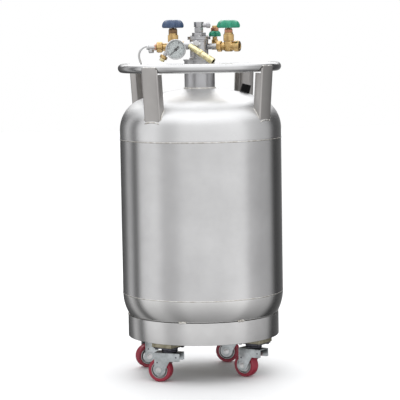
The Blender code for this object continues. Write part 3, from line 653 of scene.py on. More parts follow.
def make_leg_welds(number, stand, half):
    """Beads where a leg meets the dome and the ring."""
    def ground(x, y):
        foot = -0.165
        for _ in range(12):
            spot = stand @ Vector((x, y, foot))
            foot += (shoulder_height(math.hypot(spot.x, spot.y)) - spot.z) * 0.7
        return stand @ Vector((x, y, foot))

    front = [ground(0.0016, half * t) for t in (-0.95, -0.5, 0.0, 0.5, 0.95)]
    stand_in(bead(f"leg_foot_weld_{number}", front, 0.0024, number), ROOT, "stainless")
    for side in (-1, 1):
        run = [ground(-LEG_DEPTH * t, side * (half + 0.0012)) for t in (0.1, 0.4, 0.7, 1.0)]
        tag = "a" if side < 0 else "b"
        stand_in(bead(f"leg_side_weld_{number}{tag}", run, 0.0021, number + 10 * side), ROOT, "stainless")
        rim = [stand @ Vector((-0.0036, side * half * t, -0.0005)) for t in (0.86, 0.5, 0.12)]
        stand_in(bead(f"leg_top_weld_{number}{tag}", rim, 0.0020, number + 20 * side), ROOT, "stainless")


def make_neck():
    foot = dome_height(NECK_R - WALL)
    step, inner, bore = NECK_TOP - 0.005, NECK_R - WALL, NECK_TUBE_R
    collar = [(NECK_R, foot), (NECK_R, step), (NECK_R + 0.0025, step), (NECK_R + 0.0025, NECK_TOP),
              (bore, NECK_TOP), (bore, NECK_TOP - WALL), (inner, NECK_TOP - WALL), (inner, foot)]
    stand_in(put("collar_tube", turned(rounded(collar, 0.0009), 128), "neck"), ROOT, "stainless",
             "neck_collar")
    stand_in(weld_ring("collar_weld", NECK_R + 0.0007, foot + 0.0010, 0.0026, ripples=60, rise=0.8,
                       tilt=math.radians(45)), ROOT, "stainless")

    low = NECK_TOP
    bore = HEAD_BORE
    body = [(bore, low), (HEAD_R + 0.003, low), (HEAD_R + 0.003, low + 0.004), (HEAD_R, low + 0.006),
            (HEAD_R, HEAD_TOP - 0.006), (HEAD_R + 0.0006, HEAD_TOP - 0.005), (HEAD_R + 0.0006, HEAD_TOP),
            (bore, HEAD_TOP)]
    stand_in(barrel(body, "neck", None, 96, closed=True), ROOT, "stainless", "head_body").name = "head_barrel"

    low, high = HEAD_TOP + 0.0003, FLANGE_TOP
    plate = [(bore, low), (0.036, low), (0.036, low + 0.0040), (0.0345, low + 0.0044), (0.0345, low + 0.0052),
             (0.036, low + 0.0056), (0.036, high), (bore, high)]
    pieces = [barrel(plate, "neck", None, 96, 0.0005, closed=True)]
    pieces.append(nut(0.0385, high - 0.0002, RING_NUT_TOP, "plug", Matrix.Rotation(0.35, 4, "Z"), bore))
    for step in range(6):
        turn = math.tau * (step + 0.5) / 6
        spot = Matrix.Translation((0.0285 * math.cos(turn), 0.0285 * math.sin(turn), 0))
        pieces.append(nut(0.0065, high - 0.0004, high + 0.0036, "bright", spot, chamfer=0.0004))
    stand_in(merge("head_clamp", pieces), ROOT, "stainless", "head_flange")

    level = PLUG_FOOT
    # The plug's pieces use the darker plug steel: painted shade.
    pieces = [nut(0.0268, level + 0.0002, level + 0.0150, "plug", None, chamfer=0.0012),
              rod(0.0124, level, PLUG_CORE_TOP, "plug", None),
              nut(0.0268, level + 0.0168, PLUG_TOP, "plug", Matrix.Rotation(0.5, 4, "Z"), chamfer=0.0012),
              rod(0.0100, 1.050, level + 0.002, "neck", None)]
    stub = along((0.006, 0, 1.096), (1, 0, 0))
    pieces += [rod(0.0066, 0, 0.019, "plug", stub),
               nut(0.0155, 0.0175, 0.0290, "plug", stub),
               rod(0.0045, 0.028, 0.0305, "plug", stub, 24)]
    stand_in(merge("top_plug", pieces), "fill_plug", "stainless", "fill_plug")


def make_evacuation_port():
    tilt = math.asin(PORT_R / CROWN_R)
    port = along((PORT_R, 0.0, dome_height(PORT_R)), (math.sin(tilt), 0, math.cos(tilt)))
    stub = [(0.008, 0.0), (0.0108, 0.0), (0.0108, 0.018), (0.008, 0.018)]
    stand_in(put("port_stub", turned(rounded(stub, 0.0004), 48), "bright", port), ROOT, "stainless",
             "evac_port")
    low, high, wide = 0.0008, 0.027, 0.015
    cap = [(0.0115, 0.0195), (0.0115, low), (wide + 0.0003, low), (wide + 0.0003, low + 0.0022),
           (wide - 0.0003, low + 0.0028), (wide - 0.0006, high), (0.0, high)]
    made = put("port_cap", turned([(0.0, 0.0195)] + rounded(cap, 0.0016, 4, closed=False), 72, closed=False),
               "plastic", port)
    stand_in(made, "evac_cap", "black_plastic", "evac_cap")


make_handle()
make_neck()
make_evacuation_port()


# ------------------------------------------------------------------ gauge, manifold and safety pieces
GAUGE = Vector((-0.072, -0.060, 1.023))
GAUGE_R = 0.0315
NEEDLE_REST = math.radians(225.0)
MANIFOLD_Y, MANIFOLD_Z = -0.046, 1.037
RELIEF_START = Vector((-0.030, -0.0632, 1.033))
RELIEF_LINE, RELIEF_LENGTH = Vector((0.7574, -0.4067, -0.5108)).normalized(), 0.096


def make_gauge():
    face = along(GAUGE, (0, -1, 0))
    up = Matrix.Translation(GAUGE) @ Matrix.Rotation(math.pi / 2, 4, "X")
    case = [(0.0, 0.0), (GAUGE_R - 0.002, 0.0), (GAUGE_R - 0.0012, 0.0012), (GAUGE_R - 0.0012, 0.0225),
            (GAUGE_R, 0.0235), (GAUGE_R, 0.0285), (GAUGE_R - 0.0020, 0.0300), (GAUGE_R - 0.0034, 0.0288),
            (GAUGE_R - 0.0034, 0.0215), (0.0, 0.0205)]
    stand_in(barrel(case, "bright", face, 112, 0.0007), ROOT, "bright_steel",
             "gauge_case").name = "gauge_shell"

    dial_r = GAUGE_R - 0.0036
    plate = put("gauge_face", turned([(0.0, 0.0203), (dial_r, 0.0203), (dial_r, 0.0215), (0.0, 0.0215)], 96,
                                     closed=False), "dial", face)
    stand_in(plate, ROOT, "dial_enamel", "gauge_dial")

    marks = []
    level = 0.02155

    def mark(turn, inner, outer, half):
        spin = up @ Matrix.Rotation(-turn, 4, "Z")
        marks.append(put("mark", prism([(-half, inner), (half, inner), (half, outer), (-half, outer)], level,
                                       level + 0.00012), "ink", spin))

    for step in range(51):
        turn = NEEDLE_REST + math.radians(270.0) * step / 50
        major = step % 10 == 0
        mark(turn, dial_r - (0.0058 if major else 0.0038), dial_r - 0.0016, 0.00060 if major else 0.00024)
    for step in range(6):
        turn = NEEDLE_REST + math.radians(270.0) * step / 5
        curve = bpy.data.curves.new("figure", "FONT")
        curve.body = str(step)
        curve.size = 0.0078
        curve.align_x, curve.align_y = "CENTER", "CENTER"
        curve.extrude = 0.00006
        text = bpy.data.objects.new("figure", curve)
        bpy.context.scene.collection.objects.link(text)
        bpy.context.view_layer.update()
        mesh = bpy.data.meshes.new_from_object(text.evaluated_get(bpy.context.evaluated_depsgraph_get()))
        bpy.data.objects.remove(text)
        mesh.materials.clear()
        mesh.materials.append(SURFACE["ink"])
        figure = bpy.data.objects.new("figure", mesh)
        bpy.context.scene.collection.objects.link(figure)
        reach = dial_r - 0.0092
        figure.matrix_world = up @ Matrix.Translation((reach * math.sin(turn), reach * math.cos(turn),
                                                       level + 0.00008))
        marks.append(figure)
    stand_in(merge("dial_marks", marks), ROOT, "needle_paint")

    lens = [(0.0, 0.0282), (GAUGE_R - 0.0036, 0.0280), (GAUGE_R - 0.0036, 0.0292), (0.0, 0.0294)]
    stand_in(put("gauge_window", turned(lens, 96, closed=False), "glass", face), ROOT, "lens", "gauge_lens")

    pivot = Matrix.Translation(GAUGE + Vector((0, -0.0235, 0))) @ Matrix.Rotation(NEEDLE_REST, 4, "Y") @ \
        Matrix.Rotation(math.pi / 2, 4, "X")
    half = [(0.0028, -0.0125), (0.0032, -0.0108), (0.0020, -0.0040), (0.0019, 0.0), (0.0006, 0.0222)]
    blade = half + [(-x, y) for x, y in half[::-1]]
    pieces = [put("blade", prism(blade, 0.0007, 0.0012), "needle", pivot),
              barrel([(0, 0.0), (0.0045, 0.0), (0.0045, 0.0018), (0.0030, 0.0023), (0, 0.0023)], "needle",
                     pivot)]
    stand_in(merge("needle_blade", pieces), "gauge_needle", "needle_paint", "gauge_needle")


def make_manifold():
    bar = along((-0.094, MANIFOLD_Y, MANIFOLD_Z), (1, 0, 0))
    pieces = [rod(0.0068, 0, 0.098, "bright", bar, 40),
              nut(0.0160, 0.001, 0.010, "bright", bar), nut(0.0160, 0.068, 0.078, "bright", bar)]
    port = along((-0.009, -0.0270, 1.040), (0, -1, 0))
    pieces += [rod(0.0070, 0, 0.026, "bright", port, 40),
               nut(0.0195, 0.001, 0.009, "neck", port), nut(0.0180, 0.0125, 0.0255, "bright", port)]
    back = along((GAUGE.x, GAUGE.y + 0.0003, 1.030), (0, 1, 0))
    pieces += [rod(0.0058, 0, 0.014, "bright", back, 40),
               nut(0.0140, 0.001, 0.008, "brass", back)]
    side = RELIEF_START + RELIEF_LINE * 0.012
    branch = along((side.x, MANIFOLD_Y, side.z), (0, -1, 0))
    pieces.append(rod(0.0050, 0, 0.0095, "brass", branch, 40))
    knee, mouth = Vector((-0.089, MANIFOLD_Y, MANIFOLD_Z)), Vector((-0.108, MANIFOLD_Y, 1.004))
    drop = (mouth - knee).normalized()
    pipe = along(knee, drop)
    reach = (mouth - knee).length
    pieces += [rod(0.0060, 0, reach, "bright", pipe, 40),
               nut(0.0145, 0.012, 0.020, "bright", pipe)]
    stand_in(merge("manifold_bar", pieces), ROOT, "bright_steel", "gauge_manifold")

    spot = along(mouth + drop * 0.0003, drop)
    pieces = [nut(0.0210, 0.0, 0.0105, "brass", spot),
              barrel([(0, 0.010), (0.0080, 0.010), (0.0080, 0.0195), (0.0034, 0.0195), (0.0030, 0.0150),
                      (0, 0.0150)], "pale_brass", spot)]
    stand_in(merge("burst_disc_plug", pieces), ROOT, "brass", "burst_plug")


def make_relief_valve():
    line = along(RELIEF_START, RELIEF_LINE)
    body = [(0.0, 0.0), (0.0072, 0.0), (0.0072, 0.003), (0.0094, 0.0034), (0.0094, 0.008), (0.0086, 0.009),
            (0.0086, 0.012), (0.0094, 0.013), (0.0094, 0.036), (0.0082, 0.037), (0.0082, 0.050),
            (0.0100, 0.051),
            (0.0100, 0.068), (0.0090, 0.069), (0.0090, 0.072), (0.0104, 0.073), (0.0104, 0.0945),
            (0.0098, 0.0960), (0.0072, 0.0960), (0.0068, 0.0940), (0.0068, 0.030), (0.0, 0.030)]
    pieces = [barrel(body, "pale_brass", line, 64, 0.0005), nut(0.0196, 0.0380, 0.0495, "pale_brass", line)]
    for step in range(18):
        turn = math.tau * step / 18
        rib = line @ Matrix.Rotation(turn, 4, "Z") @ Matrix.Translation((0.0103, 0, 0))
        pieces.append(put("rib",
                          prism([(-0.0004, -0.0006), (0.0004, -0.0003), (0.0004, 0.0003), (-0.0004, 0.0006)],
                                       0.0750, 0.0900), "pale_brass", rib))
    # A near-black liner inside the outlet: painted shadow in the bore.
    bore_shadow_liner = [(0.00655, 0.0316), (0.00685, 0.0316), (0.00685, 0.0955), (0.00655, 0.0955)]
    pieces.append(barrel(bore_shadow_liner, "bore", line, 64, 0.0001, closed=True))
    stand_in(merge("relief_barrel", pieces), ROOT, "brass", "relief_body")
    poppet = [(0.0, 0.0303), (0.0063, 0.0303), (0.0063, 0.037), (0.0025, 0.038), (0.0025, 0.050),
              (0.0, 0.050)]
    stand_in(barrel(poppet, "brass", line, 32, 0.0004), "relief_poppet", "brass",
             "relief_poppet").name = "relief_disc"


# ------------------------------------------------------------------ valves
def handwheel(name, placed, low, height, radius, bore, surface, lobes=8):
    """A cast wheel with a scalloped rim, a dished top, spokes below and a hub."""
    bm = bmesh.new()
    count = lobes * 12
    shape = [(0.70, 0.04), (0.84, 0.00), (0.94, 0.03), (0.99, 0.13), (1.00, 0.26), (0.985, 0.42),
             (0.945, 0.58),
             (0.88, 0.73), (0.79, 0.86), (0.68, 0.95), (0.56, 0.99), (0.46, 0.94), (0.36, 0.90), (0.31, 0.93),
             (0.16, 0.95)]
    inner = [(0.16, 0.30), (0.30, 0.02), (0.34, 0.02), (0.36, 0.42), (0.46, 0.56), (0.60, 0.50), (0.66, 0.30)]
    outline = [(max(radius * r, bore), low + height * z) for r, z in shape]
    outline += [(max(radius * r, bore), low + height * z) for r, z in inner]
    rows = []
    for step in range(count):
        turn = math.tau * step / count
        hollow = max(0.0, (1.0 - math.cos(lobes * turn)) / 2) ** 1.6
        row = []
        for r, z in outline:
            weight = min(1.0, max(0.0, (r / radius - 0.60) / 0.40))
            reach = r - 0.0050 * hollow * weight
            row.append(bm.verts.new((reach * math.cos(turn), reach * math.sin(turn), z)))
        rows.append(row)
    size = len(outline)
    for one, two in zip(rows, rows[1:] + rows[:1]):
        for index in range(size):
            after = (index + 1) % size
            bm.faces.new((one[index], two[index], two[after], one[after]))
    return put(name, bm, surface, placed, sharp=50.0)


def make_globe_valve(tag, prefix, turn, reach, ends, bonnet_top, wheel, packing, paint, slot):
    """A brass globe valve.

    ends are its inlet, the start of its wide barrel and its outlet; packing is its gland nut's size.
    """
    inlet, start, outlet = ends
    arm = Matrix.Rotation(math.radians(turn), 4, "Z")
    out = arm.to_3x3() @ Vector((1, 0, 0))

    def at(distance, level=VALVE_Z):
        return arm @ Vector((distance, 0, level))

    line = along(at(0), out)
    top = VALVE_Z + 0.0155
    bore, mouth = 0.0085, outlet + 0.001
    nipple = [(0.0, inlet), (0.0088, inlet), (0.0088, start), (0.0, start)]
    flow = [(0.0, start + 0.010), (0.0122, start + 0.010), (0.0116, reach - 0.022), (0.0134, reach - 0.015),
            (0.0134, reach + 0.015), (0.0120, reach + 0.020), (0.0122, mouth - 0.020),
            (0.0160, mouth - 0.0175),
            (0.0160, mouth - 0.0010), (0.0150, mouth), (bore + 0.0012, mouth), (bore, mouth - 0.0012),
            (bore, mouth - 0.022), (0.0, mouth - 0.022)]
    tower = Matrix.Translation(at(reach, 0))
    belly = [(0.0, VALVE_Z - 0.0165), (0.0105, VALVE_Z - 0.0165), (0.0150, VALVE_Z - 0.012),
             (0.0165, VALVE_Z), (0.0156, VALVE_Z + 0.010), (0.0150, top), (0.0, top)]
    pieces = [barrel(nipple, "neck", line), barrel(flow, "brass", line, 64, 0.0008),
              nut(0.0300, start - 0.001, start + 0.0130, "brass", line, chamfer=0.0014),
              nut(0.0300, mouth - 0.0165, mouth - 0.0030, "brass", line, chamfer=0.0012),
              barrel(belly, "brass", tower, 64, 0.0016)]
    # A near-black liner inside the outlet: painted shadow in the bore.
    bore_shadow_liner = [(bore - 0.0004, mouth - 0.0215), (bore + 0.0001, mouth - 0.0215),
             (bore + 0.0001, mouth - 0.0014), (bore - 0.0004, mouth - 0.0014)]
    pieces.append(barrel(bore_shadow_liner, "bore", line, 64, 0.0001, closed=True))
    for level in (0.0060, 0.0085):
        pieces.append(rod(0.0094, inlet + level, inlet + level + 0.0012, "neck", line, 64, 0.0004))
    stand_in(merge(f"{prefix}_casting", pieces), ROOT, "brass", f"{tag}_body")

    low, waist = top + 0.0003, top + 0.0260
    gland, shade = packing
    stack = [nut(0.0325, low, waist - 0.0040, "brass", tower, chamfer=0.0016),
             rod(0.0138, low + 0.020, waist + 0.0010, "brass", tower),
             nut(gland * 0.955, waist + 0.0005, bonnet_top - 0.0035, shade, tower, chamfer=0.0012),
             barrel([(0.0, bonnet_top - 0.006), (gland * 0.42, bonnet_top - 0.006),
                     (gland * 0.40, bonnet_top), (0.0, bonnet_top)], shade, tower)]
    stand_in(merge(f"{prefix}_bonnet_stack", stack), ROOT, "brass", f"{tag}_bonnet")

    radius, height = wheel
    low = bonnet_top + 0.0006
    foot = VALVE_Z - 0.004 + 0.0003
    disc = rod(0.0095, foot, foot + 0.006, "brass", tower, 32)
    disc.name = f"{prefix}_seat_disc"
    stand_in(disc, f"{tag}_seat", "brass", f"{tag}_poppet")
    rod_top = low + height - 0.0030
    spindle = [rod(0.0040, foot + 0.0063, rod_top, "brass", tower),
               nut(0.0110, low + height * 0.90, low + height * 0.90 + 0.0016, "bright", tower,
                   chamfer=0.0004)]
    stand_in(merge(f"{prefix}_spindle", spindle), f"{tag}_wheel", "brass", f"{tag}_stem")
    made = handwheel(f"{prefix}_wheel", tower, low, height, radius, 0.0043, paint)
    stand_in(made, f"{tag}_wheel", slot, f"{tag}_handwheel")


def make_vent_valve():
    arm = Matrix.Rotation(math.radians(42.0), 4, "Z")
    out = arm.to_3x3() @ Vector((1, 0, 0))
    reach, top = 0.0673, 1.0600
    line, tower = along(arm @ Vector((0, 0, VALVE_Z)), out), Matrix.Translation(arm @ Vector((reach, 0, 0)))
    mouth = reach + 0.026
    flow = [(0.0, HEAD_R), (0.0078, HEAD_R), (0.0082, mouth - 0.012), (0.0085, mouth - 0.010),
            (0.0085, mouth), (0.0050, mouth), (0.0050, mouth - 0.014), (0.0, mouth - 0.014)]
    pieces = [barrel(flow, "brass", line), nut(0.0170, HEAD_R + 0.006, HEAD_R + 0.015, "brass", line),
              rod(0.0105, 1.019, 1.043, "brass", tower),
              nut(0.0200, 1.042, 1.051, "brass", tower),
              rod(0.0075, 1.050, top, "brass", tower)]
    stand_in(merge("vent_casting", pieces), ROOT, "brass", "vent_valve_body")
    low = top + 0.0006
    wheel = handwheel("vent_wheel", tower, low, 0.018, 0.019, 0.0040, "green", lobes=6)
    stand_in(wheel, "vent_valve_wheel", "green_paint", "vent_valve_handwheel")
    stem = [rod(0.0035, 1.0274, low + 0.020, "brass", tower),
            nut(0.0240, low + 0.0172, 1.0885, "copper", tower, chamfer=0.0012),
            barrel([(0.0, 1.088), (0.0090, 1.088), (0.0075, 1.0950), (0.0, 1.0950)], "brass", tower)]
    stand_in(merge("vent_spindle", stem), "vent_valve_wheel", "brass", "vent_valve_stem")


def make_pressure_tube():
    route = [(TUBE_START_X, 0, 1.0330), (-0.163, 0, 1.0335), (-0.175, 0, 1.0290), (-0.1845, 0, 1.0190),
             (-0.1885, 0, 1.0060), (-0.1870, 0, 0.9930), (-0.1820, 0, 0.9780), (-0.1740, 0, 0.9500),
             (-0.1660, 0, 0.9200), (-0.1615, 0, 0.9000), (-0.1600, 0, 0.8860)]
    pieces = [sweep("tube", smooth_route(route, 8), lambda t: 0.0030, "bright", 20)]
    line = along((-0.1333, 0, VALVE_Z), (-1, 0, 0))
    pieces += [barrel([(0, 0), (0.0085, 0), (0.0095, 0.0090), (0.0095, 0.0235), (0.0070, 0.0247),
                       (0, 0.0247)], "bright", line, 48, 0.0014),
               nut(0.0176, 0.0005, 0.0080, "copper", line), nut(0.0125, 0.0230, 0.0310, "bright", line),
               barrel([(0, 1.0120), (0.0070, 1.0120), (0.0082, 1.0150), (0.0090, VALVE_Z), (0, VALVE_Z)],
                      "bright", Matrix.Translation((TUBE_START_X, 0, 0)), 48, 0.0012),
               nut(0.0170, 0.8818, 0.8900, "bright", Matrix.Translation((TUBE_FOOT_X, 0, 0))),
               nut(0.0128, 0.8895, 0.8945, "bright", Matrix.Translation((TUBE_FOOT_X, 0, 0)))]
    stand_in(merge("pressure_line", pieces), ROOT, "bright_steel", "pressure_tube")


make_gauge()
make_manifold()
make_relief_valve()
make_globe_valve("pressure_valve", "navy_valve", 180.0, 0.081, (HEAD_R + 0.0006, 0.0480, 0.1320), 1.0885,
                 (0.034, 0.0255), (0.0285, "dark_brass"), "navy", "navy_paint")
make_globe_valve("liquid_valve", "green_valve", -20.0, 0.098, (HEAD_R + 0.0006, 0.0620, 0.1330), 1.0860,
                 (0.036, 0.0245), (0.0262, "copper"), "green", "green_paint")
make_vent_valve()
make_pressure_tube()


# ------------------------------------------------------------------ caster frame and casters
PLATE_LOW = PLATE_TOP - 0.003


def cross(reach, half):
    corners = []
    for quarter in range(4):
        turn = Matrix.Rotation(math.radians(90.0 * quarter), 2)
        for x, y in ((reach, -half), (reach, half), (half, half)):
            corners.append(tuple(turn @ Vector((x, y))))
    return corners


def make_caster_frame():
    """A plus-shaped tray of folded sheet, open above, its turned-up edges holding the skirt."""
    low, high, sheet = 0.1122, 0.1244, 0.003
    bm = bmesh.new()
    rings = []
    for offset, level in ((0.0, high), (0.0, low), (sheet, low + sheet), (sheet, high)):
        shape = cross(0.232 - offset, 0.036 - offset)
        rings.append([bm.verts.new((x, y, level)) for x, y in shape])
    count = len(rings[0])
    for one, two in ((0, 1), (2, 3), (3, 0)):
        for index in range(count):
            after = (index + 1) % count
            bm.faces.new((rings[one][index], rings[one][after], rings[two][after], rings[two][index]))
    bm.faces.new(rings[1])
    bm.faces.new(rings[2])
    bm.transform(heading(CASTER_AZIMUTHS[0]))
    stand_in(put("frame_cross", bm, "frame_paint", bevel=0.0009), ROOT, "zinc_steel", "caster_frame")


def make_plate(index, azimuth):
    post = heading(azimuth) @ Matrix.Translation((SWIVEL_R, 0, 0))
    corners = []
    for x, y, start in ((1, 1, 0), (-1, 1, 90), (-1, -1, 180), (1, -1, 270)):
        middle = (x * (0.044 - 0.007), y * (0.033 - 0.007))
        corners += arc(middle, 0.007, math.radians(start), math.radians(start + 90), 6)
    # The plate, its nuts and the race are near-black: painted shade under the skirt.
    pieces = [put("plate", prism(corners, PLATE_LOW, PLATE_TOP), "dark_zinc_painted_shade", post, bevel=0.0005)]
    for x in (-1, 1):
        for y in (-1, 1):
            spot = post @ Matrix.Translation((x * 0.0345, y * 0.0245, 0))
            pieces.append(nut(0.0095, PLATE_LOW - 0.0045, PLATE_LOW, "dark_zinc_painted_shade", spot, chamfer=0.0005))
    race = [(0.0, FORK_TOP + 0.0008), (0.0225, FORK_TOP + 0.0008), (0.0252, FORK_TOP + 0.0028),
            (0.0260, FORK_TOP + 0.0060), (0.0236, FORK_TOP + 0.0072), (0.0236, FORK_TOP + 0.0082),
            (0.0260, FORK_TOP + 0.0096), (0.0256, PLATE_LOW), (0.0, PLATE_LOW)]
    pieces.append(barrel(race, "dark_zinc_painted_shade", post, 56, 0.0006))
    stand_in(merge(f"plate_and_race_{index}", pieces), ROOT, "zinc_steel", f"caster_plate_{index}")


def make_fork(index, placed):
    outline = [(-0.036, FORK_TOP), (-0.040, FORK_TOP - 0.004), (-0.040, 0.0685), (-0.034, 0.0665),
               (-0.006, 0.0660)]
    outline += arc((TRAIL, WHEEL_R), 0.0175, math.radians(-150), 0.10, 16)
    outline += [(0.0440, 0.0480), (0.0440, FORK_TOP - 0.004), (0.0400, FORK_TOP)]
    pieces = []
    for side in (-1, 1):
        wall = placed @ Matrix.Rotation(math.pi / 2, 4, "X")
        low = side * FORK_HALF - (FORK_SHEET if side > 0 else 0.0)
        cheek = put("cheek", prism(outline, low, low + FORK_SHEET), "zinc", wall, bevel=0.0006)
        pieces.append(cheek)
        end = along(placed @ Vector((TRAIL, side * FORK_HALF, WHEEL_R)),
                    placed.to_3x3() @ Vector((0, side, 0)))
        pieces += [rod(0.0092, -0.0002, 0.0010, "bright", end, 40, 0.0002),
                   nut(0.0128, 0.0010, 0.0030, "bright", end, chamfer=0.0005)]
        for x, z in ((-0.028, 0.0800), (0.034, 0.0620)):
            spot = along(placed @ Vector((x, side * FORK_HALF, z)), placed.to_3x3() @ Vector((0, side, 0)))
            pieces.append(barrel([(0.0, -0.0002), (0.0026, -0.0002), (0.0022, 0.0008), (0.0, 0.0010)],
                                 "dark_zinc_painted_shade", spot, 20, 0.0002))
        press = [(0.0125, -0.0001), (0.0150, -0.0001), (0.0144, 0.0005), (0.0131, 0.0005)]
        pieces.append(barrel(press, "zinc", end, 48, 0.0002, closed=True))
    top = [(-0.040, -FORK_HALF), (0.044, -FORK_HALF), (0.044, FORK_HALF), (-0.040, FORK_HALF)]
    pieces.append(put("crown", prism(top, FORK_TOP - FORK_SHEET, FORK_TOP), "zinc", placed, bevel=0.0009))
    pieces.append(rod(0.0085, FORK_TOP - 0.0065, FORK_TOP - 0.0020, "zinc", placed, 40))
    axle = along(placed @ Vector((TRAIL, -FORK_HALF, WHEEL_R)), placed.to_3x3() @ Vector((0, 1, 0)))
    pieces.append(rod(0.0047, 0.0, 2 * FORK_HALF, "dark_zinc_painted_shade", axle))
    stand_in(merge(f"fork_{index}", pieces), f"caster_swivel_{index}", "zinc_steel", f"caster_fork_{index}")


def make_wheel(index, placed):
    axis = along(placed @ Vector((TRAIL, 0, WHEEL_R)), placed.to_3x3() @ Vector((0, 1, 0)))
    boss, edge = FORK_HALF - FORK_SHEET - 0.0006, 0.0145
    hub = [(0.0056, -boss), (0.0098, -boss), (0.0125, -0.0100), (0.0180, -0.0080), (0.0228, -0.0090),
           (0.0245, -edge), (0.0262, -edge), (0.0262, edge), (0.0245, edge), (0.0228, 0.0090),
           (0.0180, 0.0080), (0.0125, 0.0100), (0.0098, boss), (0.0056, boss)]
    rim = barrel(hub, "bright", axis, 72, 0.0008, closed=True)
    rim.name = f"hub_{index}"
    stand_in(rim, f"caster_wheel_{index}", "bright_steel", f"caster_hub_{index}")
    half = [(0.0266, 0.0145), (0.0300, 0.0156), (0.0335, 0.0160), (0.0354, 0.0150), (0.0368, 0.0120),
            (0.0375, 0.0075)]
    tyre = [(reach, -level) for reach, level in half] + half[::-1]
    band = barrel(tyre, "tread", axis, 96, 0.0007, closed=True)
    band.name = f"tyre_{index}"
    stand_in(band, f"caster_wheel_{index}", "red_tread", f"caster_tyre_{index}")


make_caster_frame()
for number, (azimuth, trail) in enumerate(zip(CASTER_AZIMUTHS, CASTER_HEADINGS), 1):
    make_plate(number, azimuth)
    kingpin = heading(azimuth) @ Vector((SWIVEL_R, 0, 0))
    fork_place = Matrix.Translation(kingpin) @ Matrix.Rotation(math.radians(trail), 4, "Z")
    make_fork(number, fork_place)
    make_wheel(number, fork_place)


# ------------------------------------------------------------------ carried-over pieces inside the casing
KEPT = {"inner_vessel": "neck", "inner_neck_tube": "neck", "insulation_blanket": "foil",
        "adsorbent_canister": "granules", "pressure_coil": "tube_copper", "dip_tube": "neck"}
for node, surface in KEPT.items():
    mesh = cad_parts[node].data
    mesh.materials.clear()
    mesh.materials.append(SURFACE[surface])


# ------------------------------------------------------------------ floor, light and camera
def make_floor():
    bm = bmesh.new()
    bmesh.ops.create_grid(bm, x_segments=1, y_segments=1, size=14.0)
    floor = put("floor", bm, "floor")
    # Left out of reflections: the metal shows the sky's lower half there, not the pale floor.
    floor.visible_glossy = False


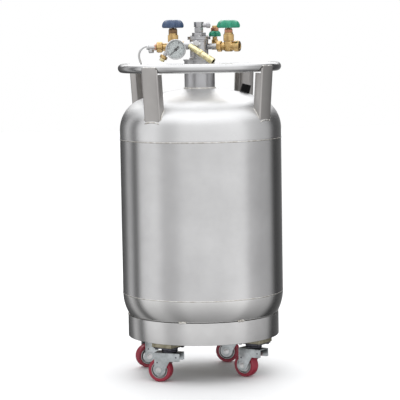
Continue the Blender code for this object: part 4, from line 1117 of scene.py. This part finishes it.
def sky():
    """A studio with light and dark panels round the horizon, pale overhead, and plain white to the camera.

    The panels were set so that their reflections in the casing follow the photograph's upright bands.
    """
    world = bpy.data.worlds.new("studio")
    world.use_nodes = True
    tree = world.node_tree
    nodes, links = tree.nodes, tree.links
    nodes.clear()
    out = nodes.new("ShaderNodeOutputWorld")
    coords = nodes.new("ShaderNodeTexCoord")
    split = nodes.new("ShaderNodeSeparateXYZ")
    links.new(coords.outputs["Generated"], split.inputs[0])

    def calc(kind, one, two=None):
        made = nodes.new("ShaderNodeMath")
        made.operation = kind
        for socket, value in zip(made.inputs, (one, two)):
            if isinstance(value, (int, float)):
                socket.default_value = value
            elif value is not None:
                links.new(value, socket)
        return made.outputs[0]

    flat = calc("SUBTRACT", 0.0, split.outputs["Y"])
    turn = calc("ARCTAN2", split.outputs["X"], flat)
    share = calc("ADD", calc("DIVIDE", turn, math.tau), 0.5)
    around = nodes.new("ShaderNodeValToRGB")
    links.new(share, around.inputs["Fac"])
    # Degrees from the front toward the right, and the brightness there.
    stops = ((-180, 0.50), (-166, 0.07), (-142, 0.14), (-126, 0.66), (-108, 0.08), (-95, 0.90), (-70, 0.99),
             (-53, 0.69), (-42, 0.71), (-24, 0.96), (20, 1.00), (62, 1.08), (73, 0.70), (95, 0.56),
             (110, 0.50), (126, 0.05), (152, 0.12), (180, 0.50))
    ramp = around.color_ramp
    ramp.interpolation = "EASE"
    ramp.elements[0].position, ramp.elements[0].color = 0.0, (0.5, 0.5, 0.5, 1)
    ramp.elements[1].position, ramp.elements[1].color = 1.0, (0.5, 0.5, 0.5, 1)
    for angle, level in stops[1:-1]:
        stop = ramp.elements.new((angle + 180.0) / 360.0)
        stop.color = (level, level, level * 1.01, 1)
    height = nodes.new("ShaderNodeValToRGB")
    links.new(calc("ADD", calc("MULTIPLY", split.outputs["Z"], 0.5), 0.5), height.inputs["Fac"])
    height.color_ramp.elements[0].position, height.color_ramp.elements[0].color = 0.70, (0, 0, 0, 1)
    height.color_ramp.elements[1].position, height.color_ramp.elements[1].color = 0.88, (1, 1, 1, 1)
    blend = nodes.new("ShaderNodeMix")
    blend.data_type = "RGBA"
    links.new(height.outputs[0], blend.inputs["Factor"])
    links.new(around.outputs[0], blend.inputs[6])
    blend.inputs[7].default_value = SKY_OVERHEAD

    below = nodes.new("ShaderNodeValToRGB")
    links.new(calc("ADD", split.outputs["Z"], 1.0), below.inputs["Fac"])
    below.color_ramp.elements[0].position, below.color_ramp.elements[0].color = 0.10, (0.40, 0.40, 0.40, 1)
    below.color_ramp.elements[1].position, below.color_ramp.elements[1].color = 0.80, (1, 1, 1, 1)
    shaded = nodes.new("ShaderNodeMix")
    shaded.data_type, shaded.blend_type = "RGBA", "MULTIPLY"
    shaded.inputs["Factor"].default_value = 1.0
    links.new(blend.outputs[2], shaded.inputs[6])
    links.new(below.outputs[0], shaded.inputs[7])

    seen, light = nodes.new("ShaderNodeBackground"), nodes.new("ShaderNodeBackground")
    seen.inputs["Color"].default_value = (1, 1, 1, 1)
    links.new(shaded.outputs[2], light.inputs["Color"])
    light.inputs["Strength"].default_value = SKY_STRENGTH
    rays, pick = nodes.new("ShaderNodeLightPath"), nodes.new("ShaderNodeMixShader")
    links.new(rays.outputs["Is Camera Ray"], pick.inputs[0])
    links.new(light.outputs[0], pick.inputs[1])
    links.new(seen.outputs[0], pick.inputs[2])
    links.new(pick.outputs[0], out.inputs["Surface"])
    bpy.context.scene.world = world


def make_light(name, place, target, size, watts):
    data = bpy.data.lights.new(name, "AREA")
    data.shape, data.size, data.size_y, data.energy = "RECTANGLE", size[0], size[1], watts
    lamp = bpy.data.objects.new(name, data)
    bpy.context.scene.collection.objects.link(lamp)
    lamp.matrix_world = along(place, Vector(place) - Vector(target))


def make_camera():
    pitch, roll = CAMERA_PITCH, CAMERA_ROLL
    forward = Vector((0, math.cos(pitch), -math.sin(pitch)))
    level, upright = Vector((1, 0, 0)), Vector((0, math.sin(pitch), math.cos(pitch)))
    right = level * math.cos(roll) - upright * math.sin(roll)
    up = upright * math.cos(roll) + level * math.sin(roll)
    data = bpy.data.cameras.new("camera")
    data.sensor_width, data.lens = CAMERA_SENSOR, CAMERA_LENS
    camera = bpy.data.objects.new("camera", data)
    bpy.context.scene.collection.objects.link(camera)
    turn = Matrix((right, up, -forward)).transposed().to_4x4()
    camera.matrix_world = Matrix.Translation(CAMERA_PLACE) @ turn
    bpy.context.scene.camera = camera


make_floor()
sky()
make_light("rear_bank", (0.0, 2.8, 2.7), (0, 0, 0.9), (4.6, 2.0), 38.0)
make_camera()
bpy.context.scene.view_settings.view_transform = "Standard"
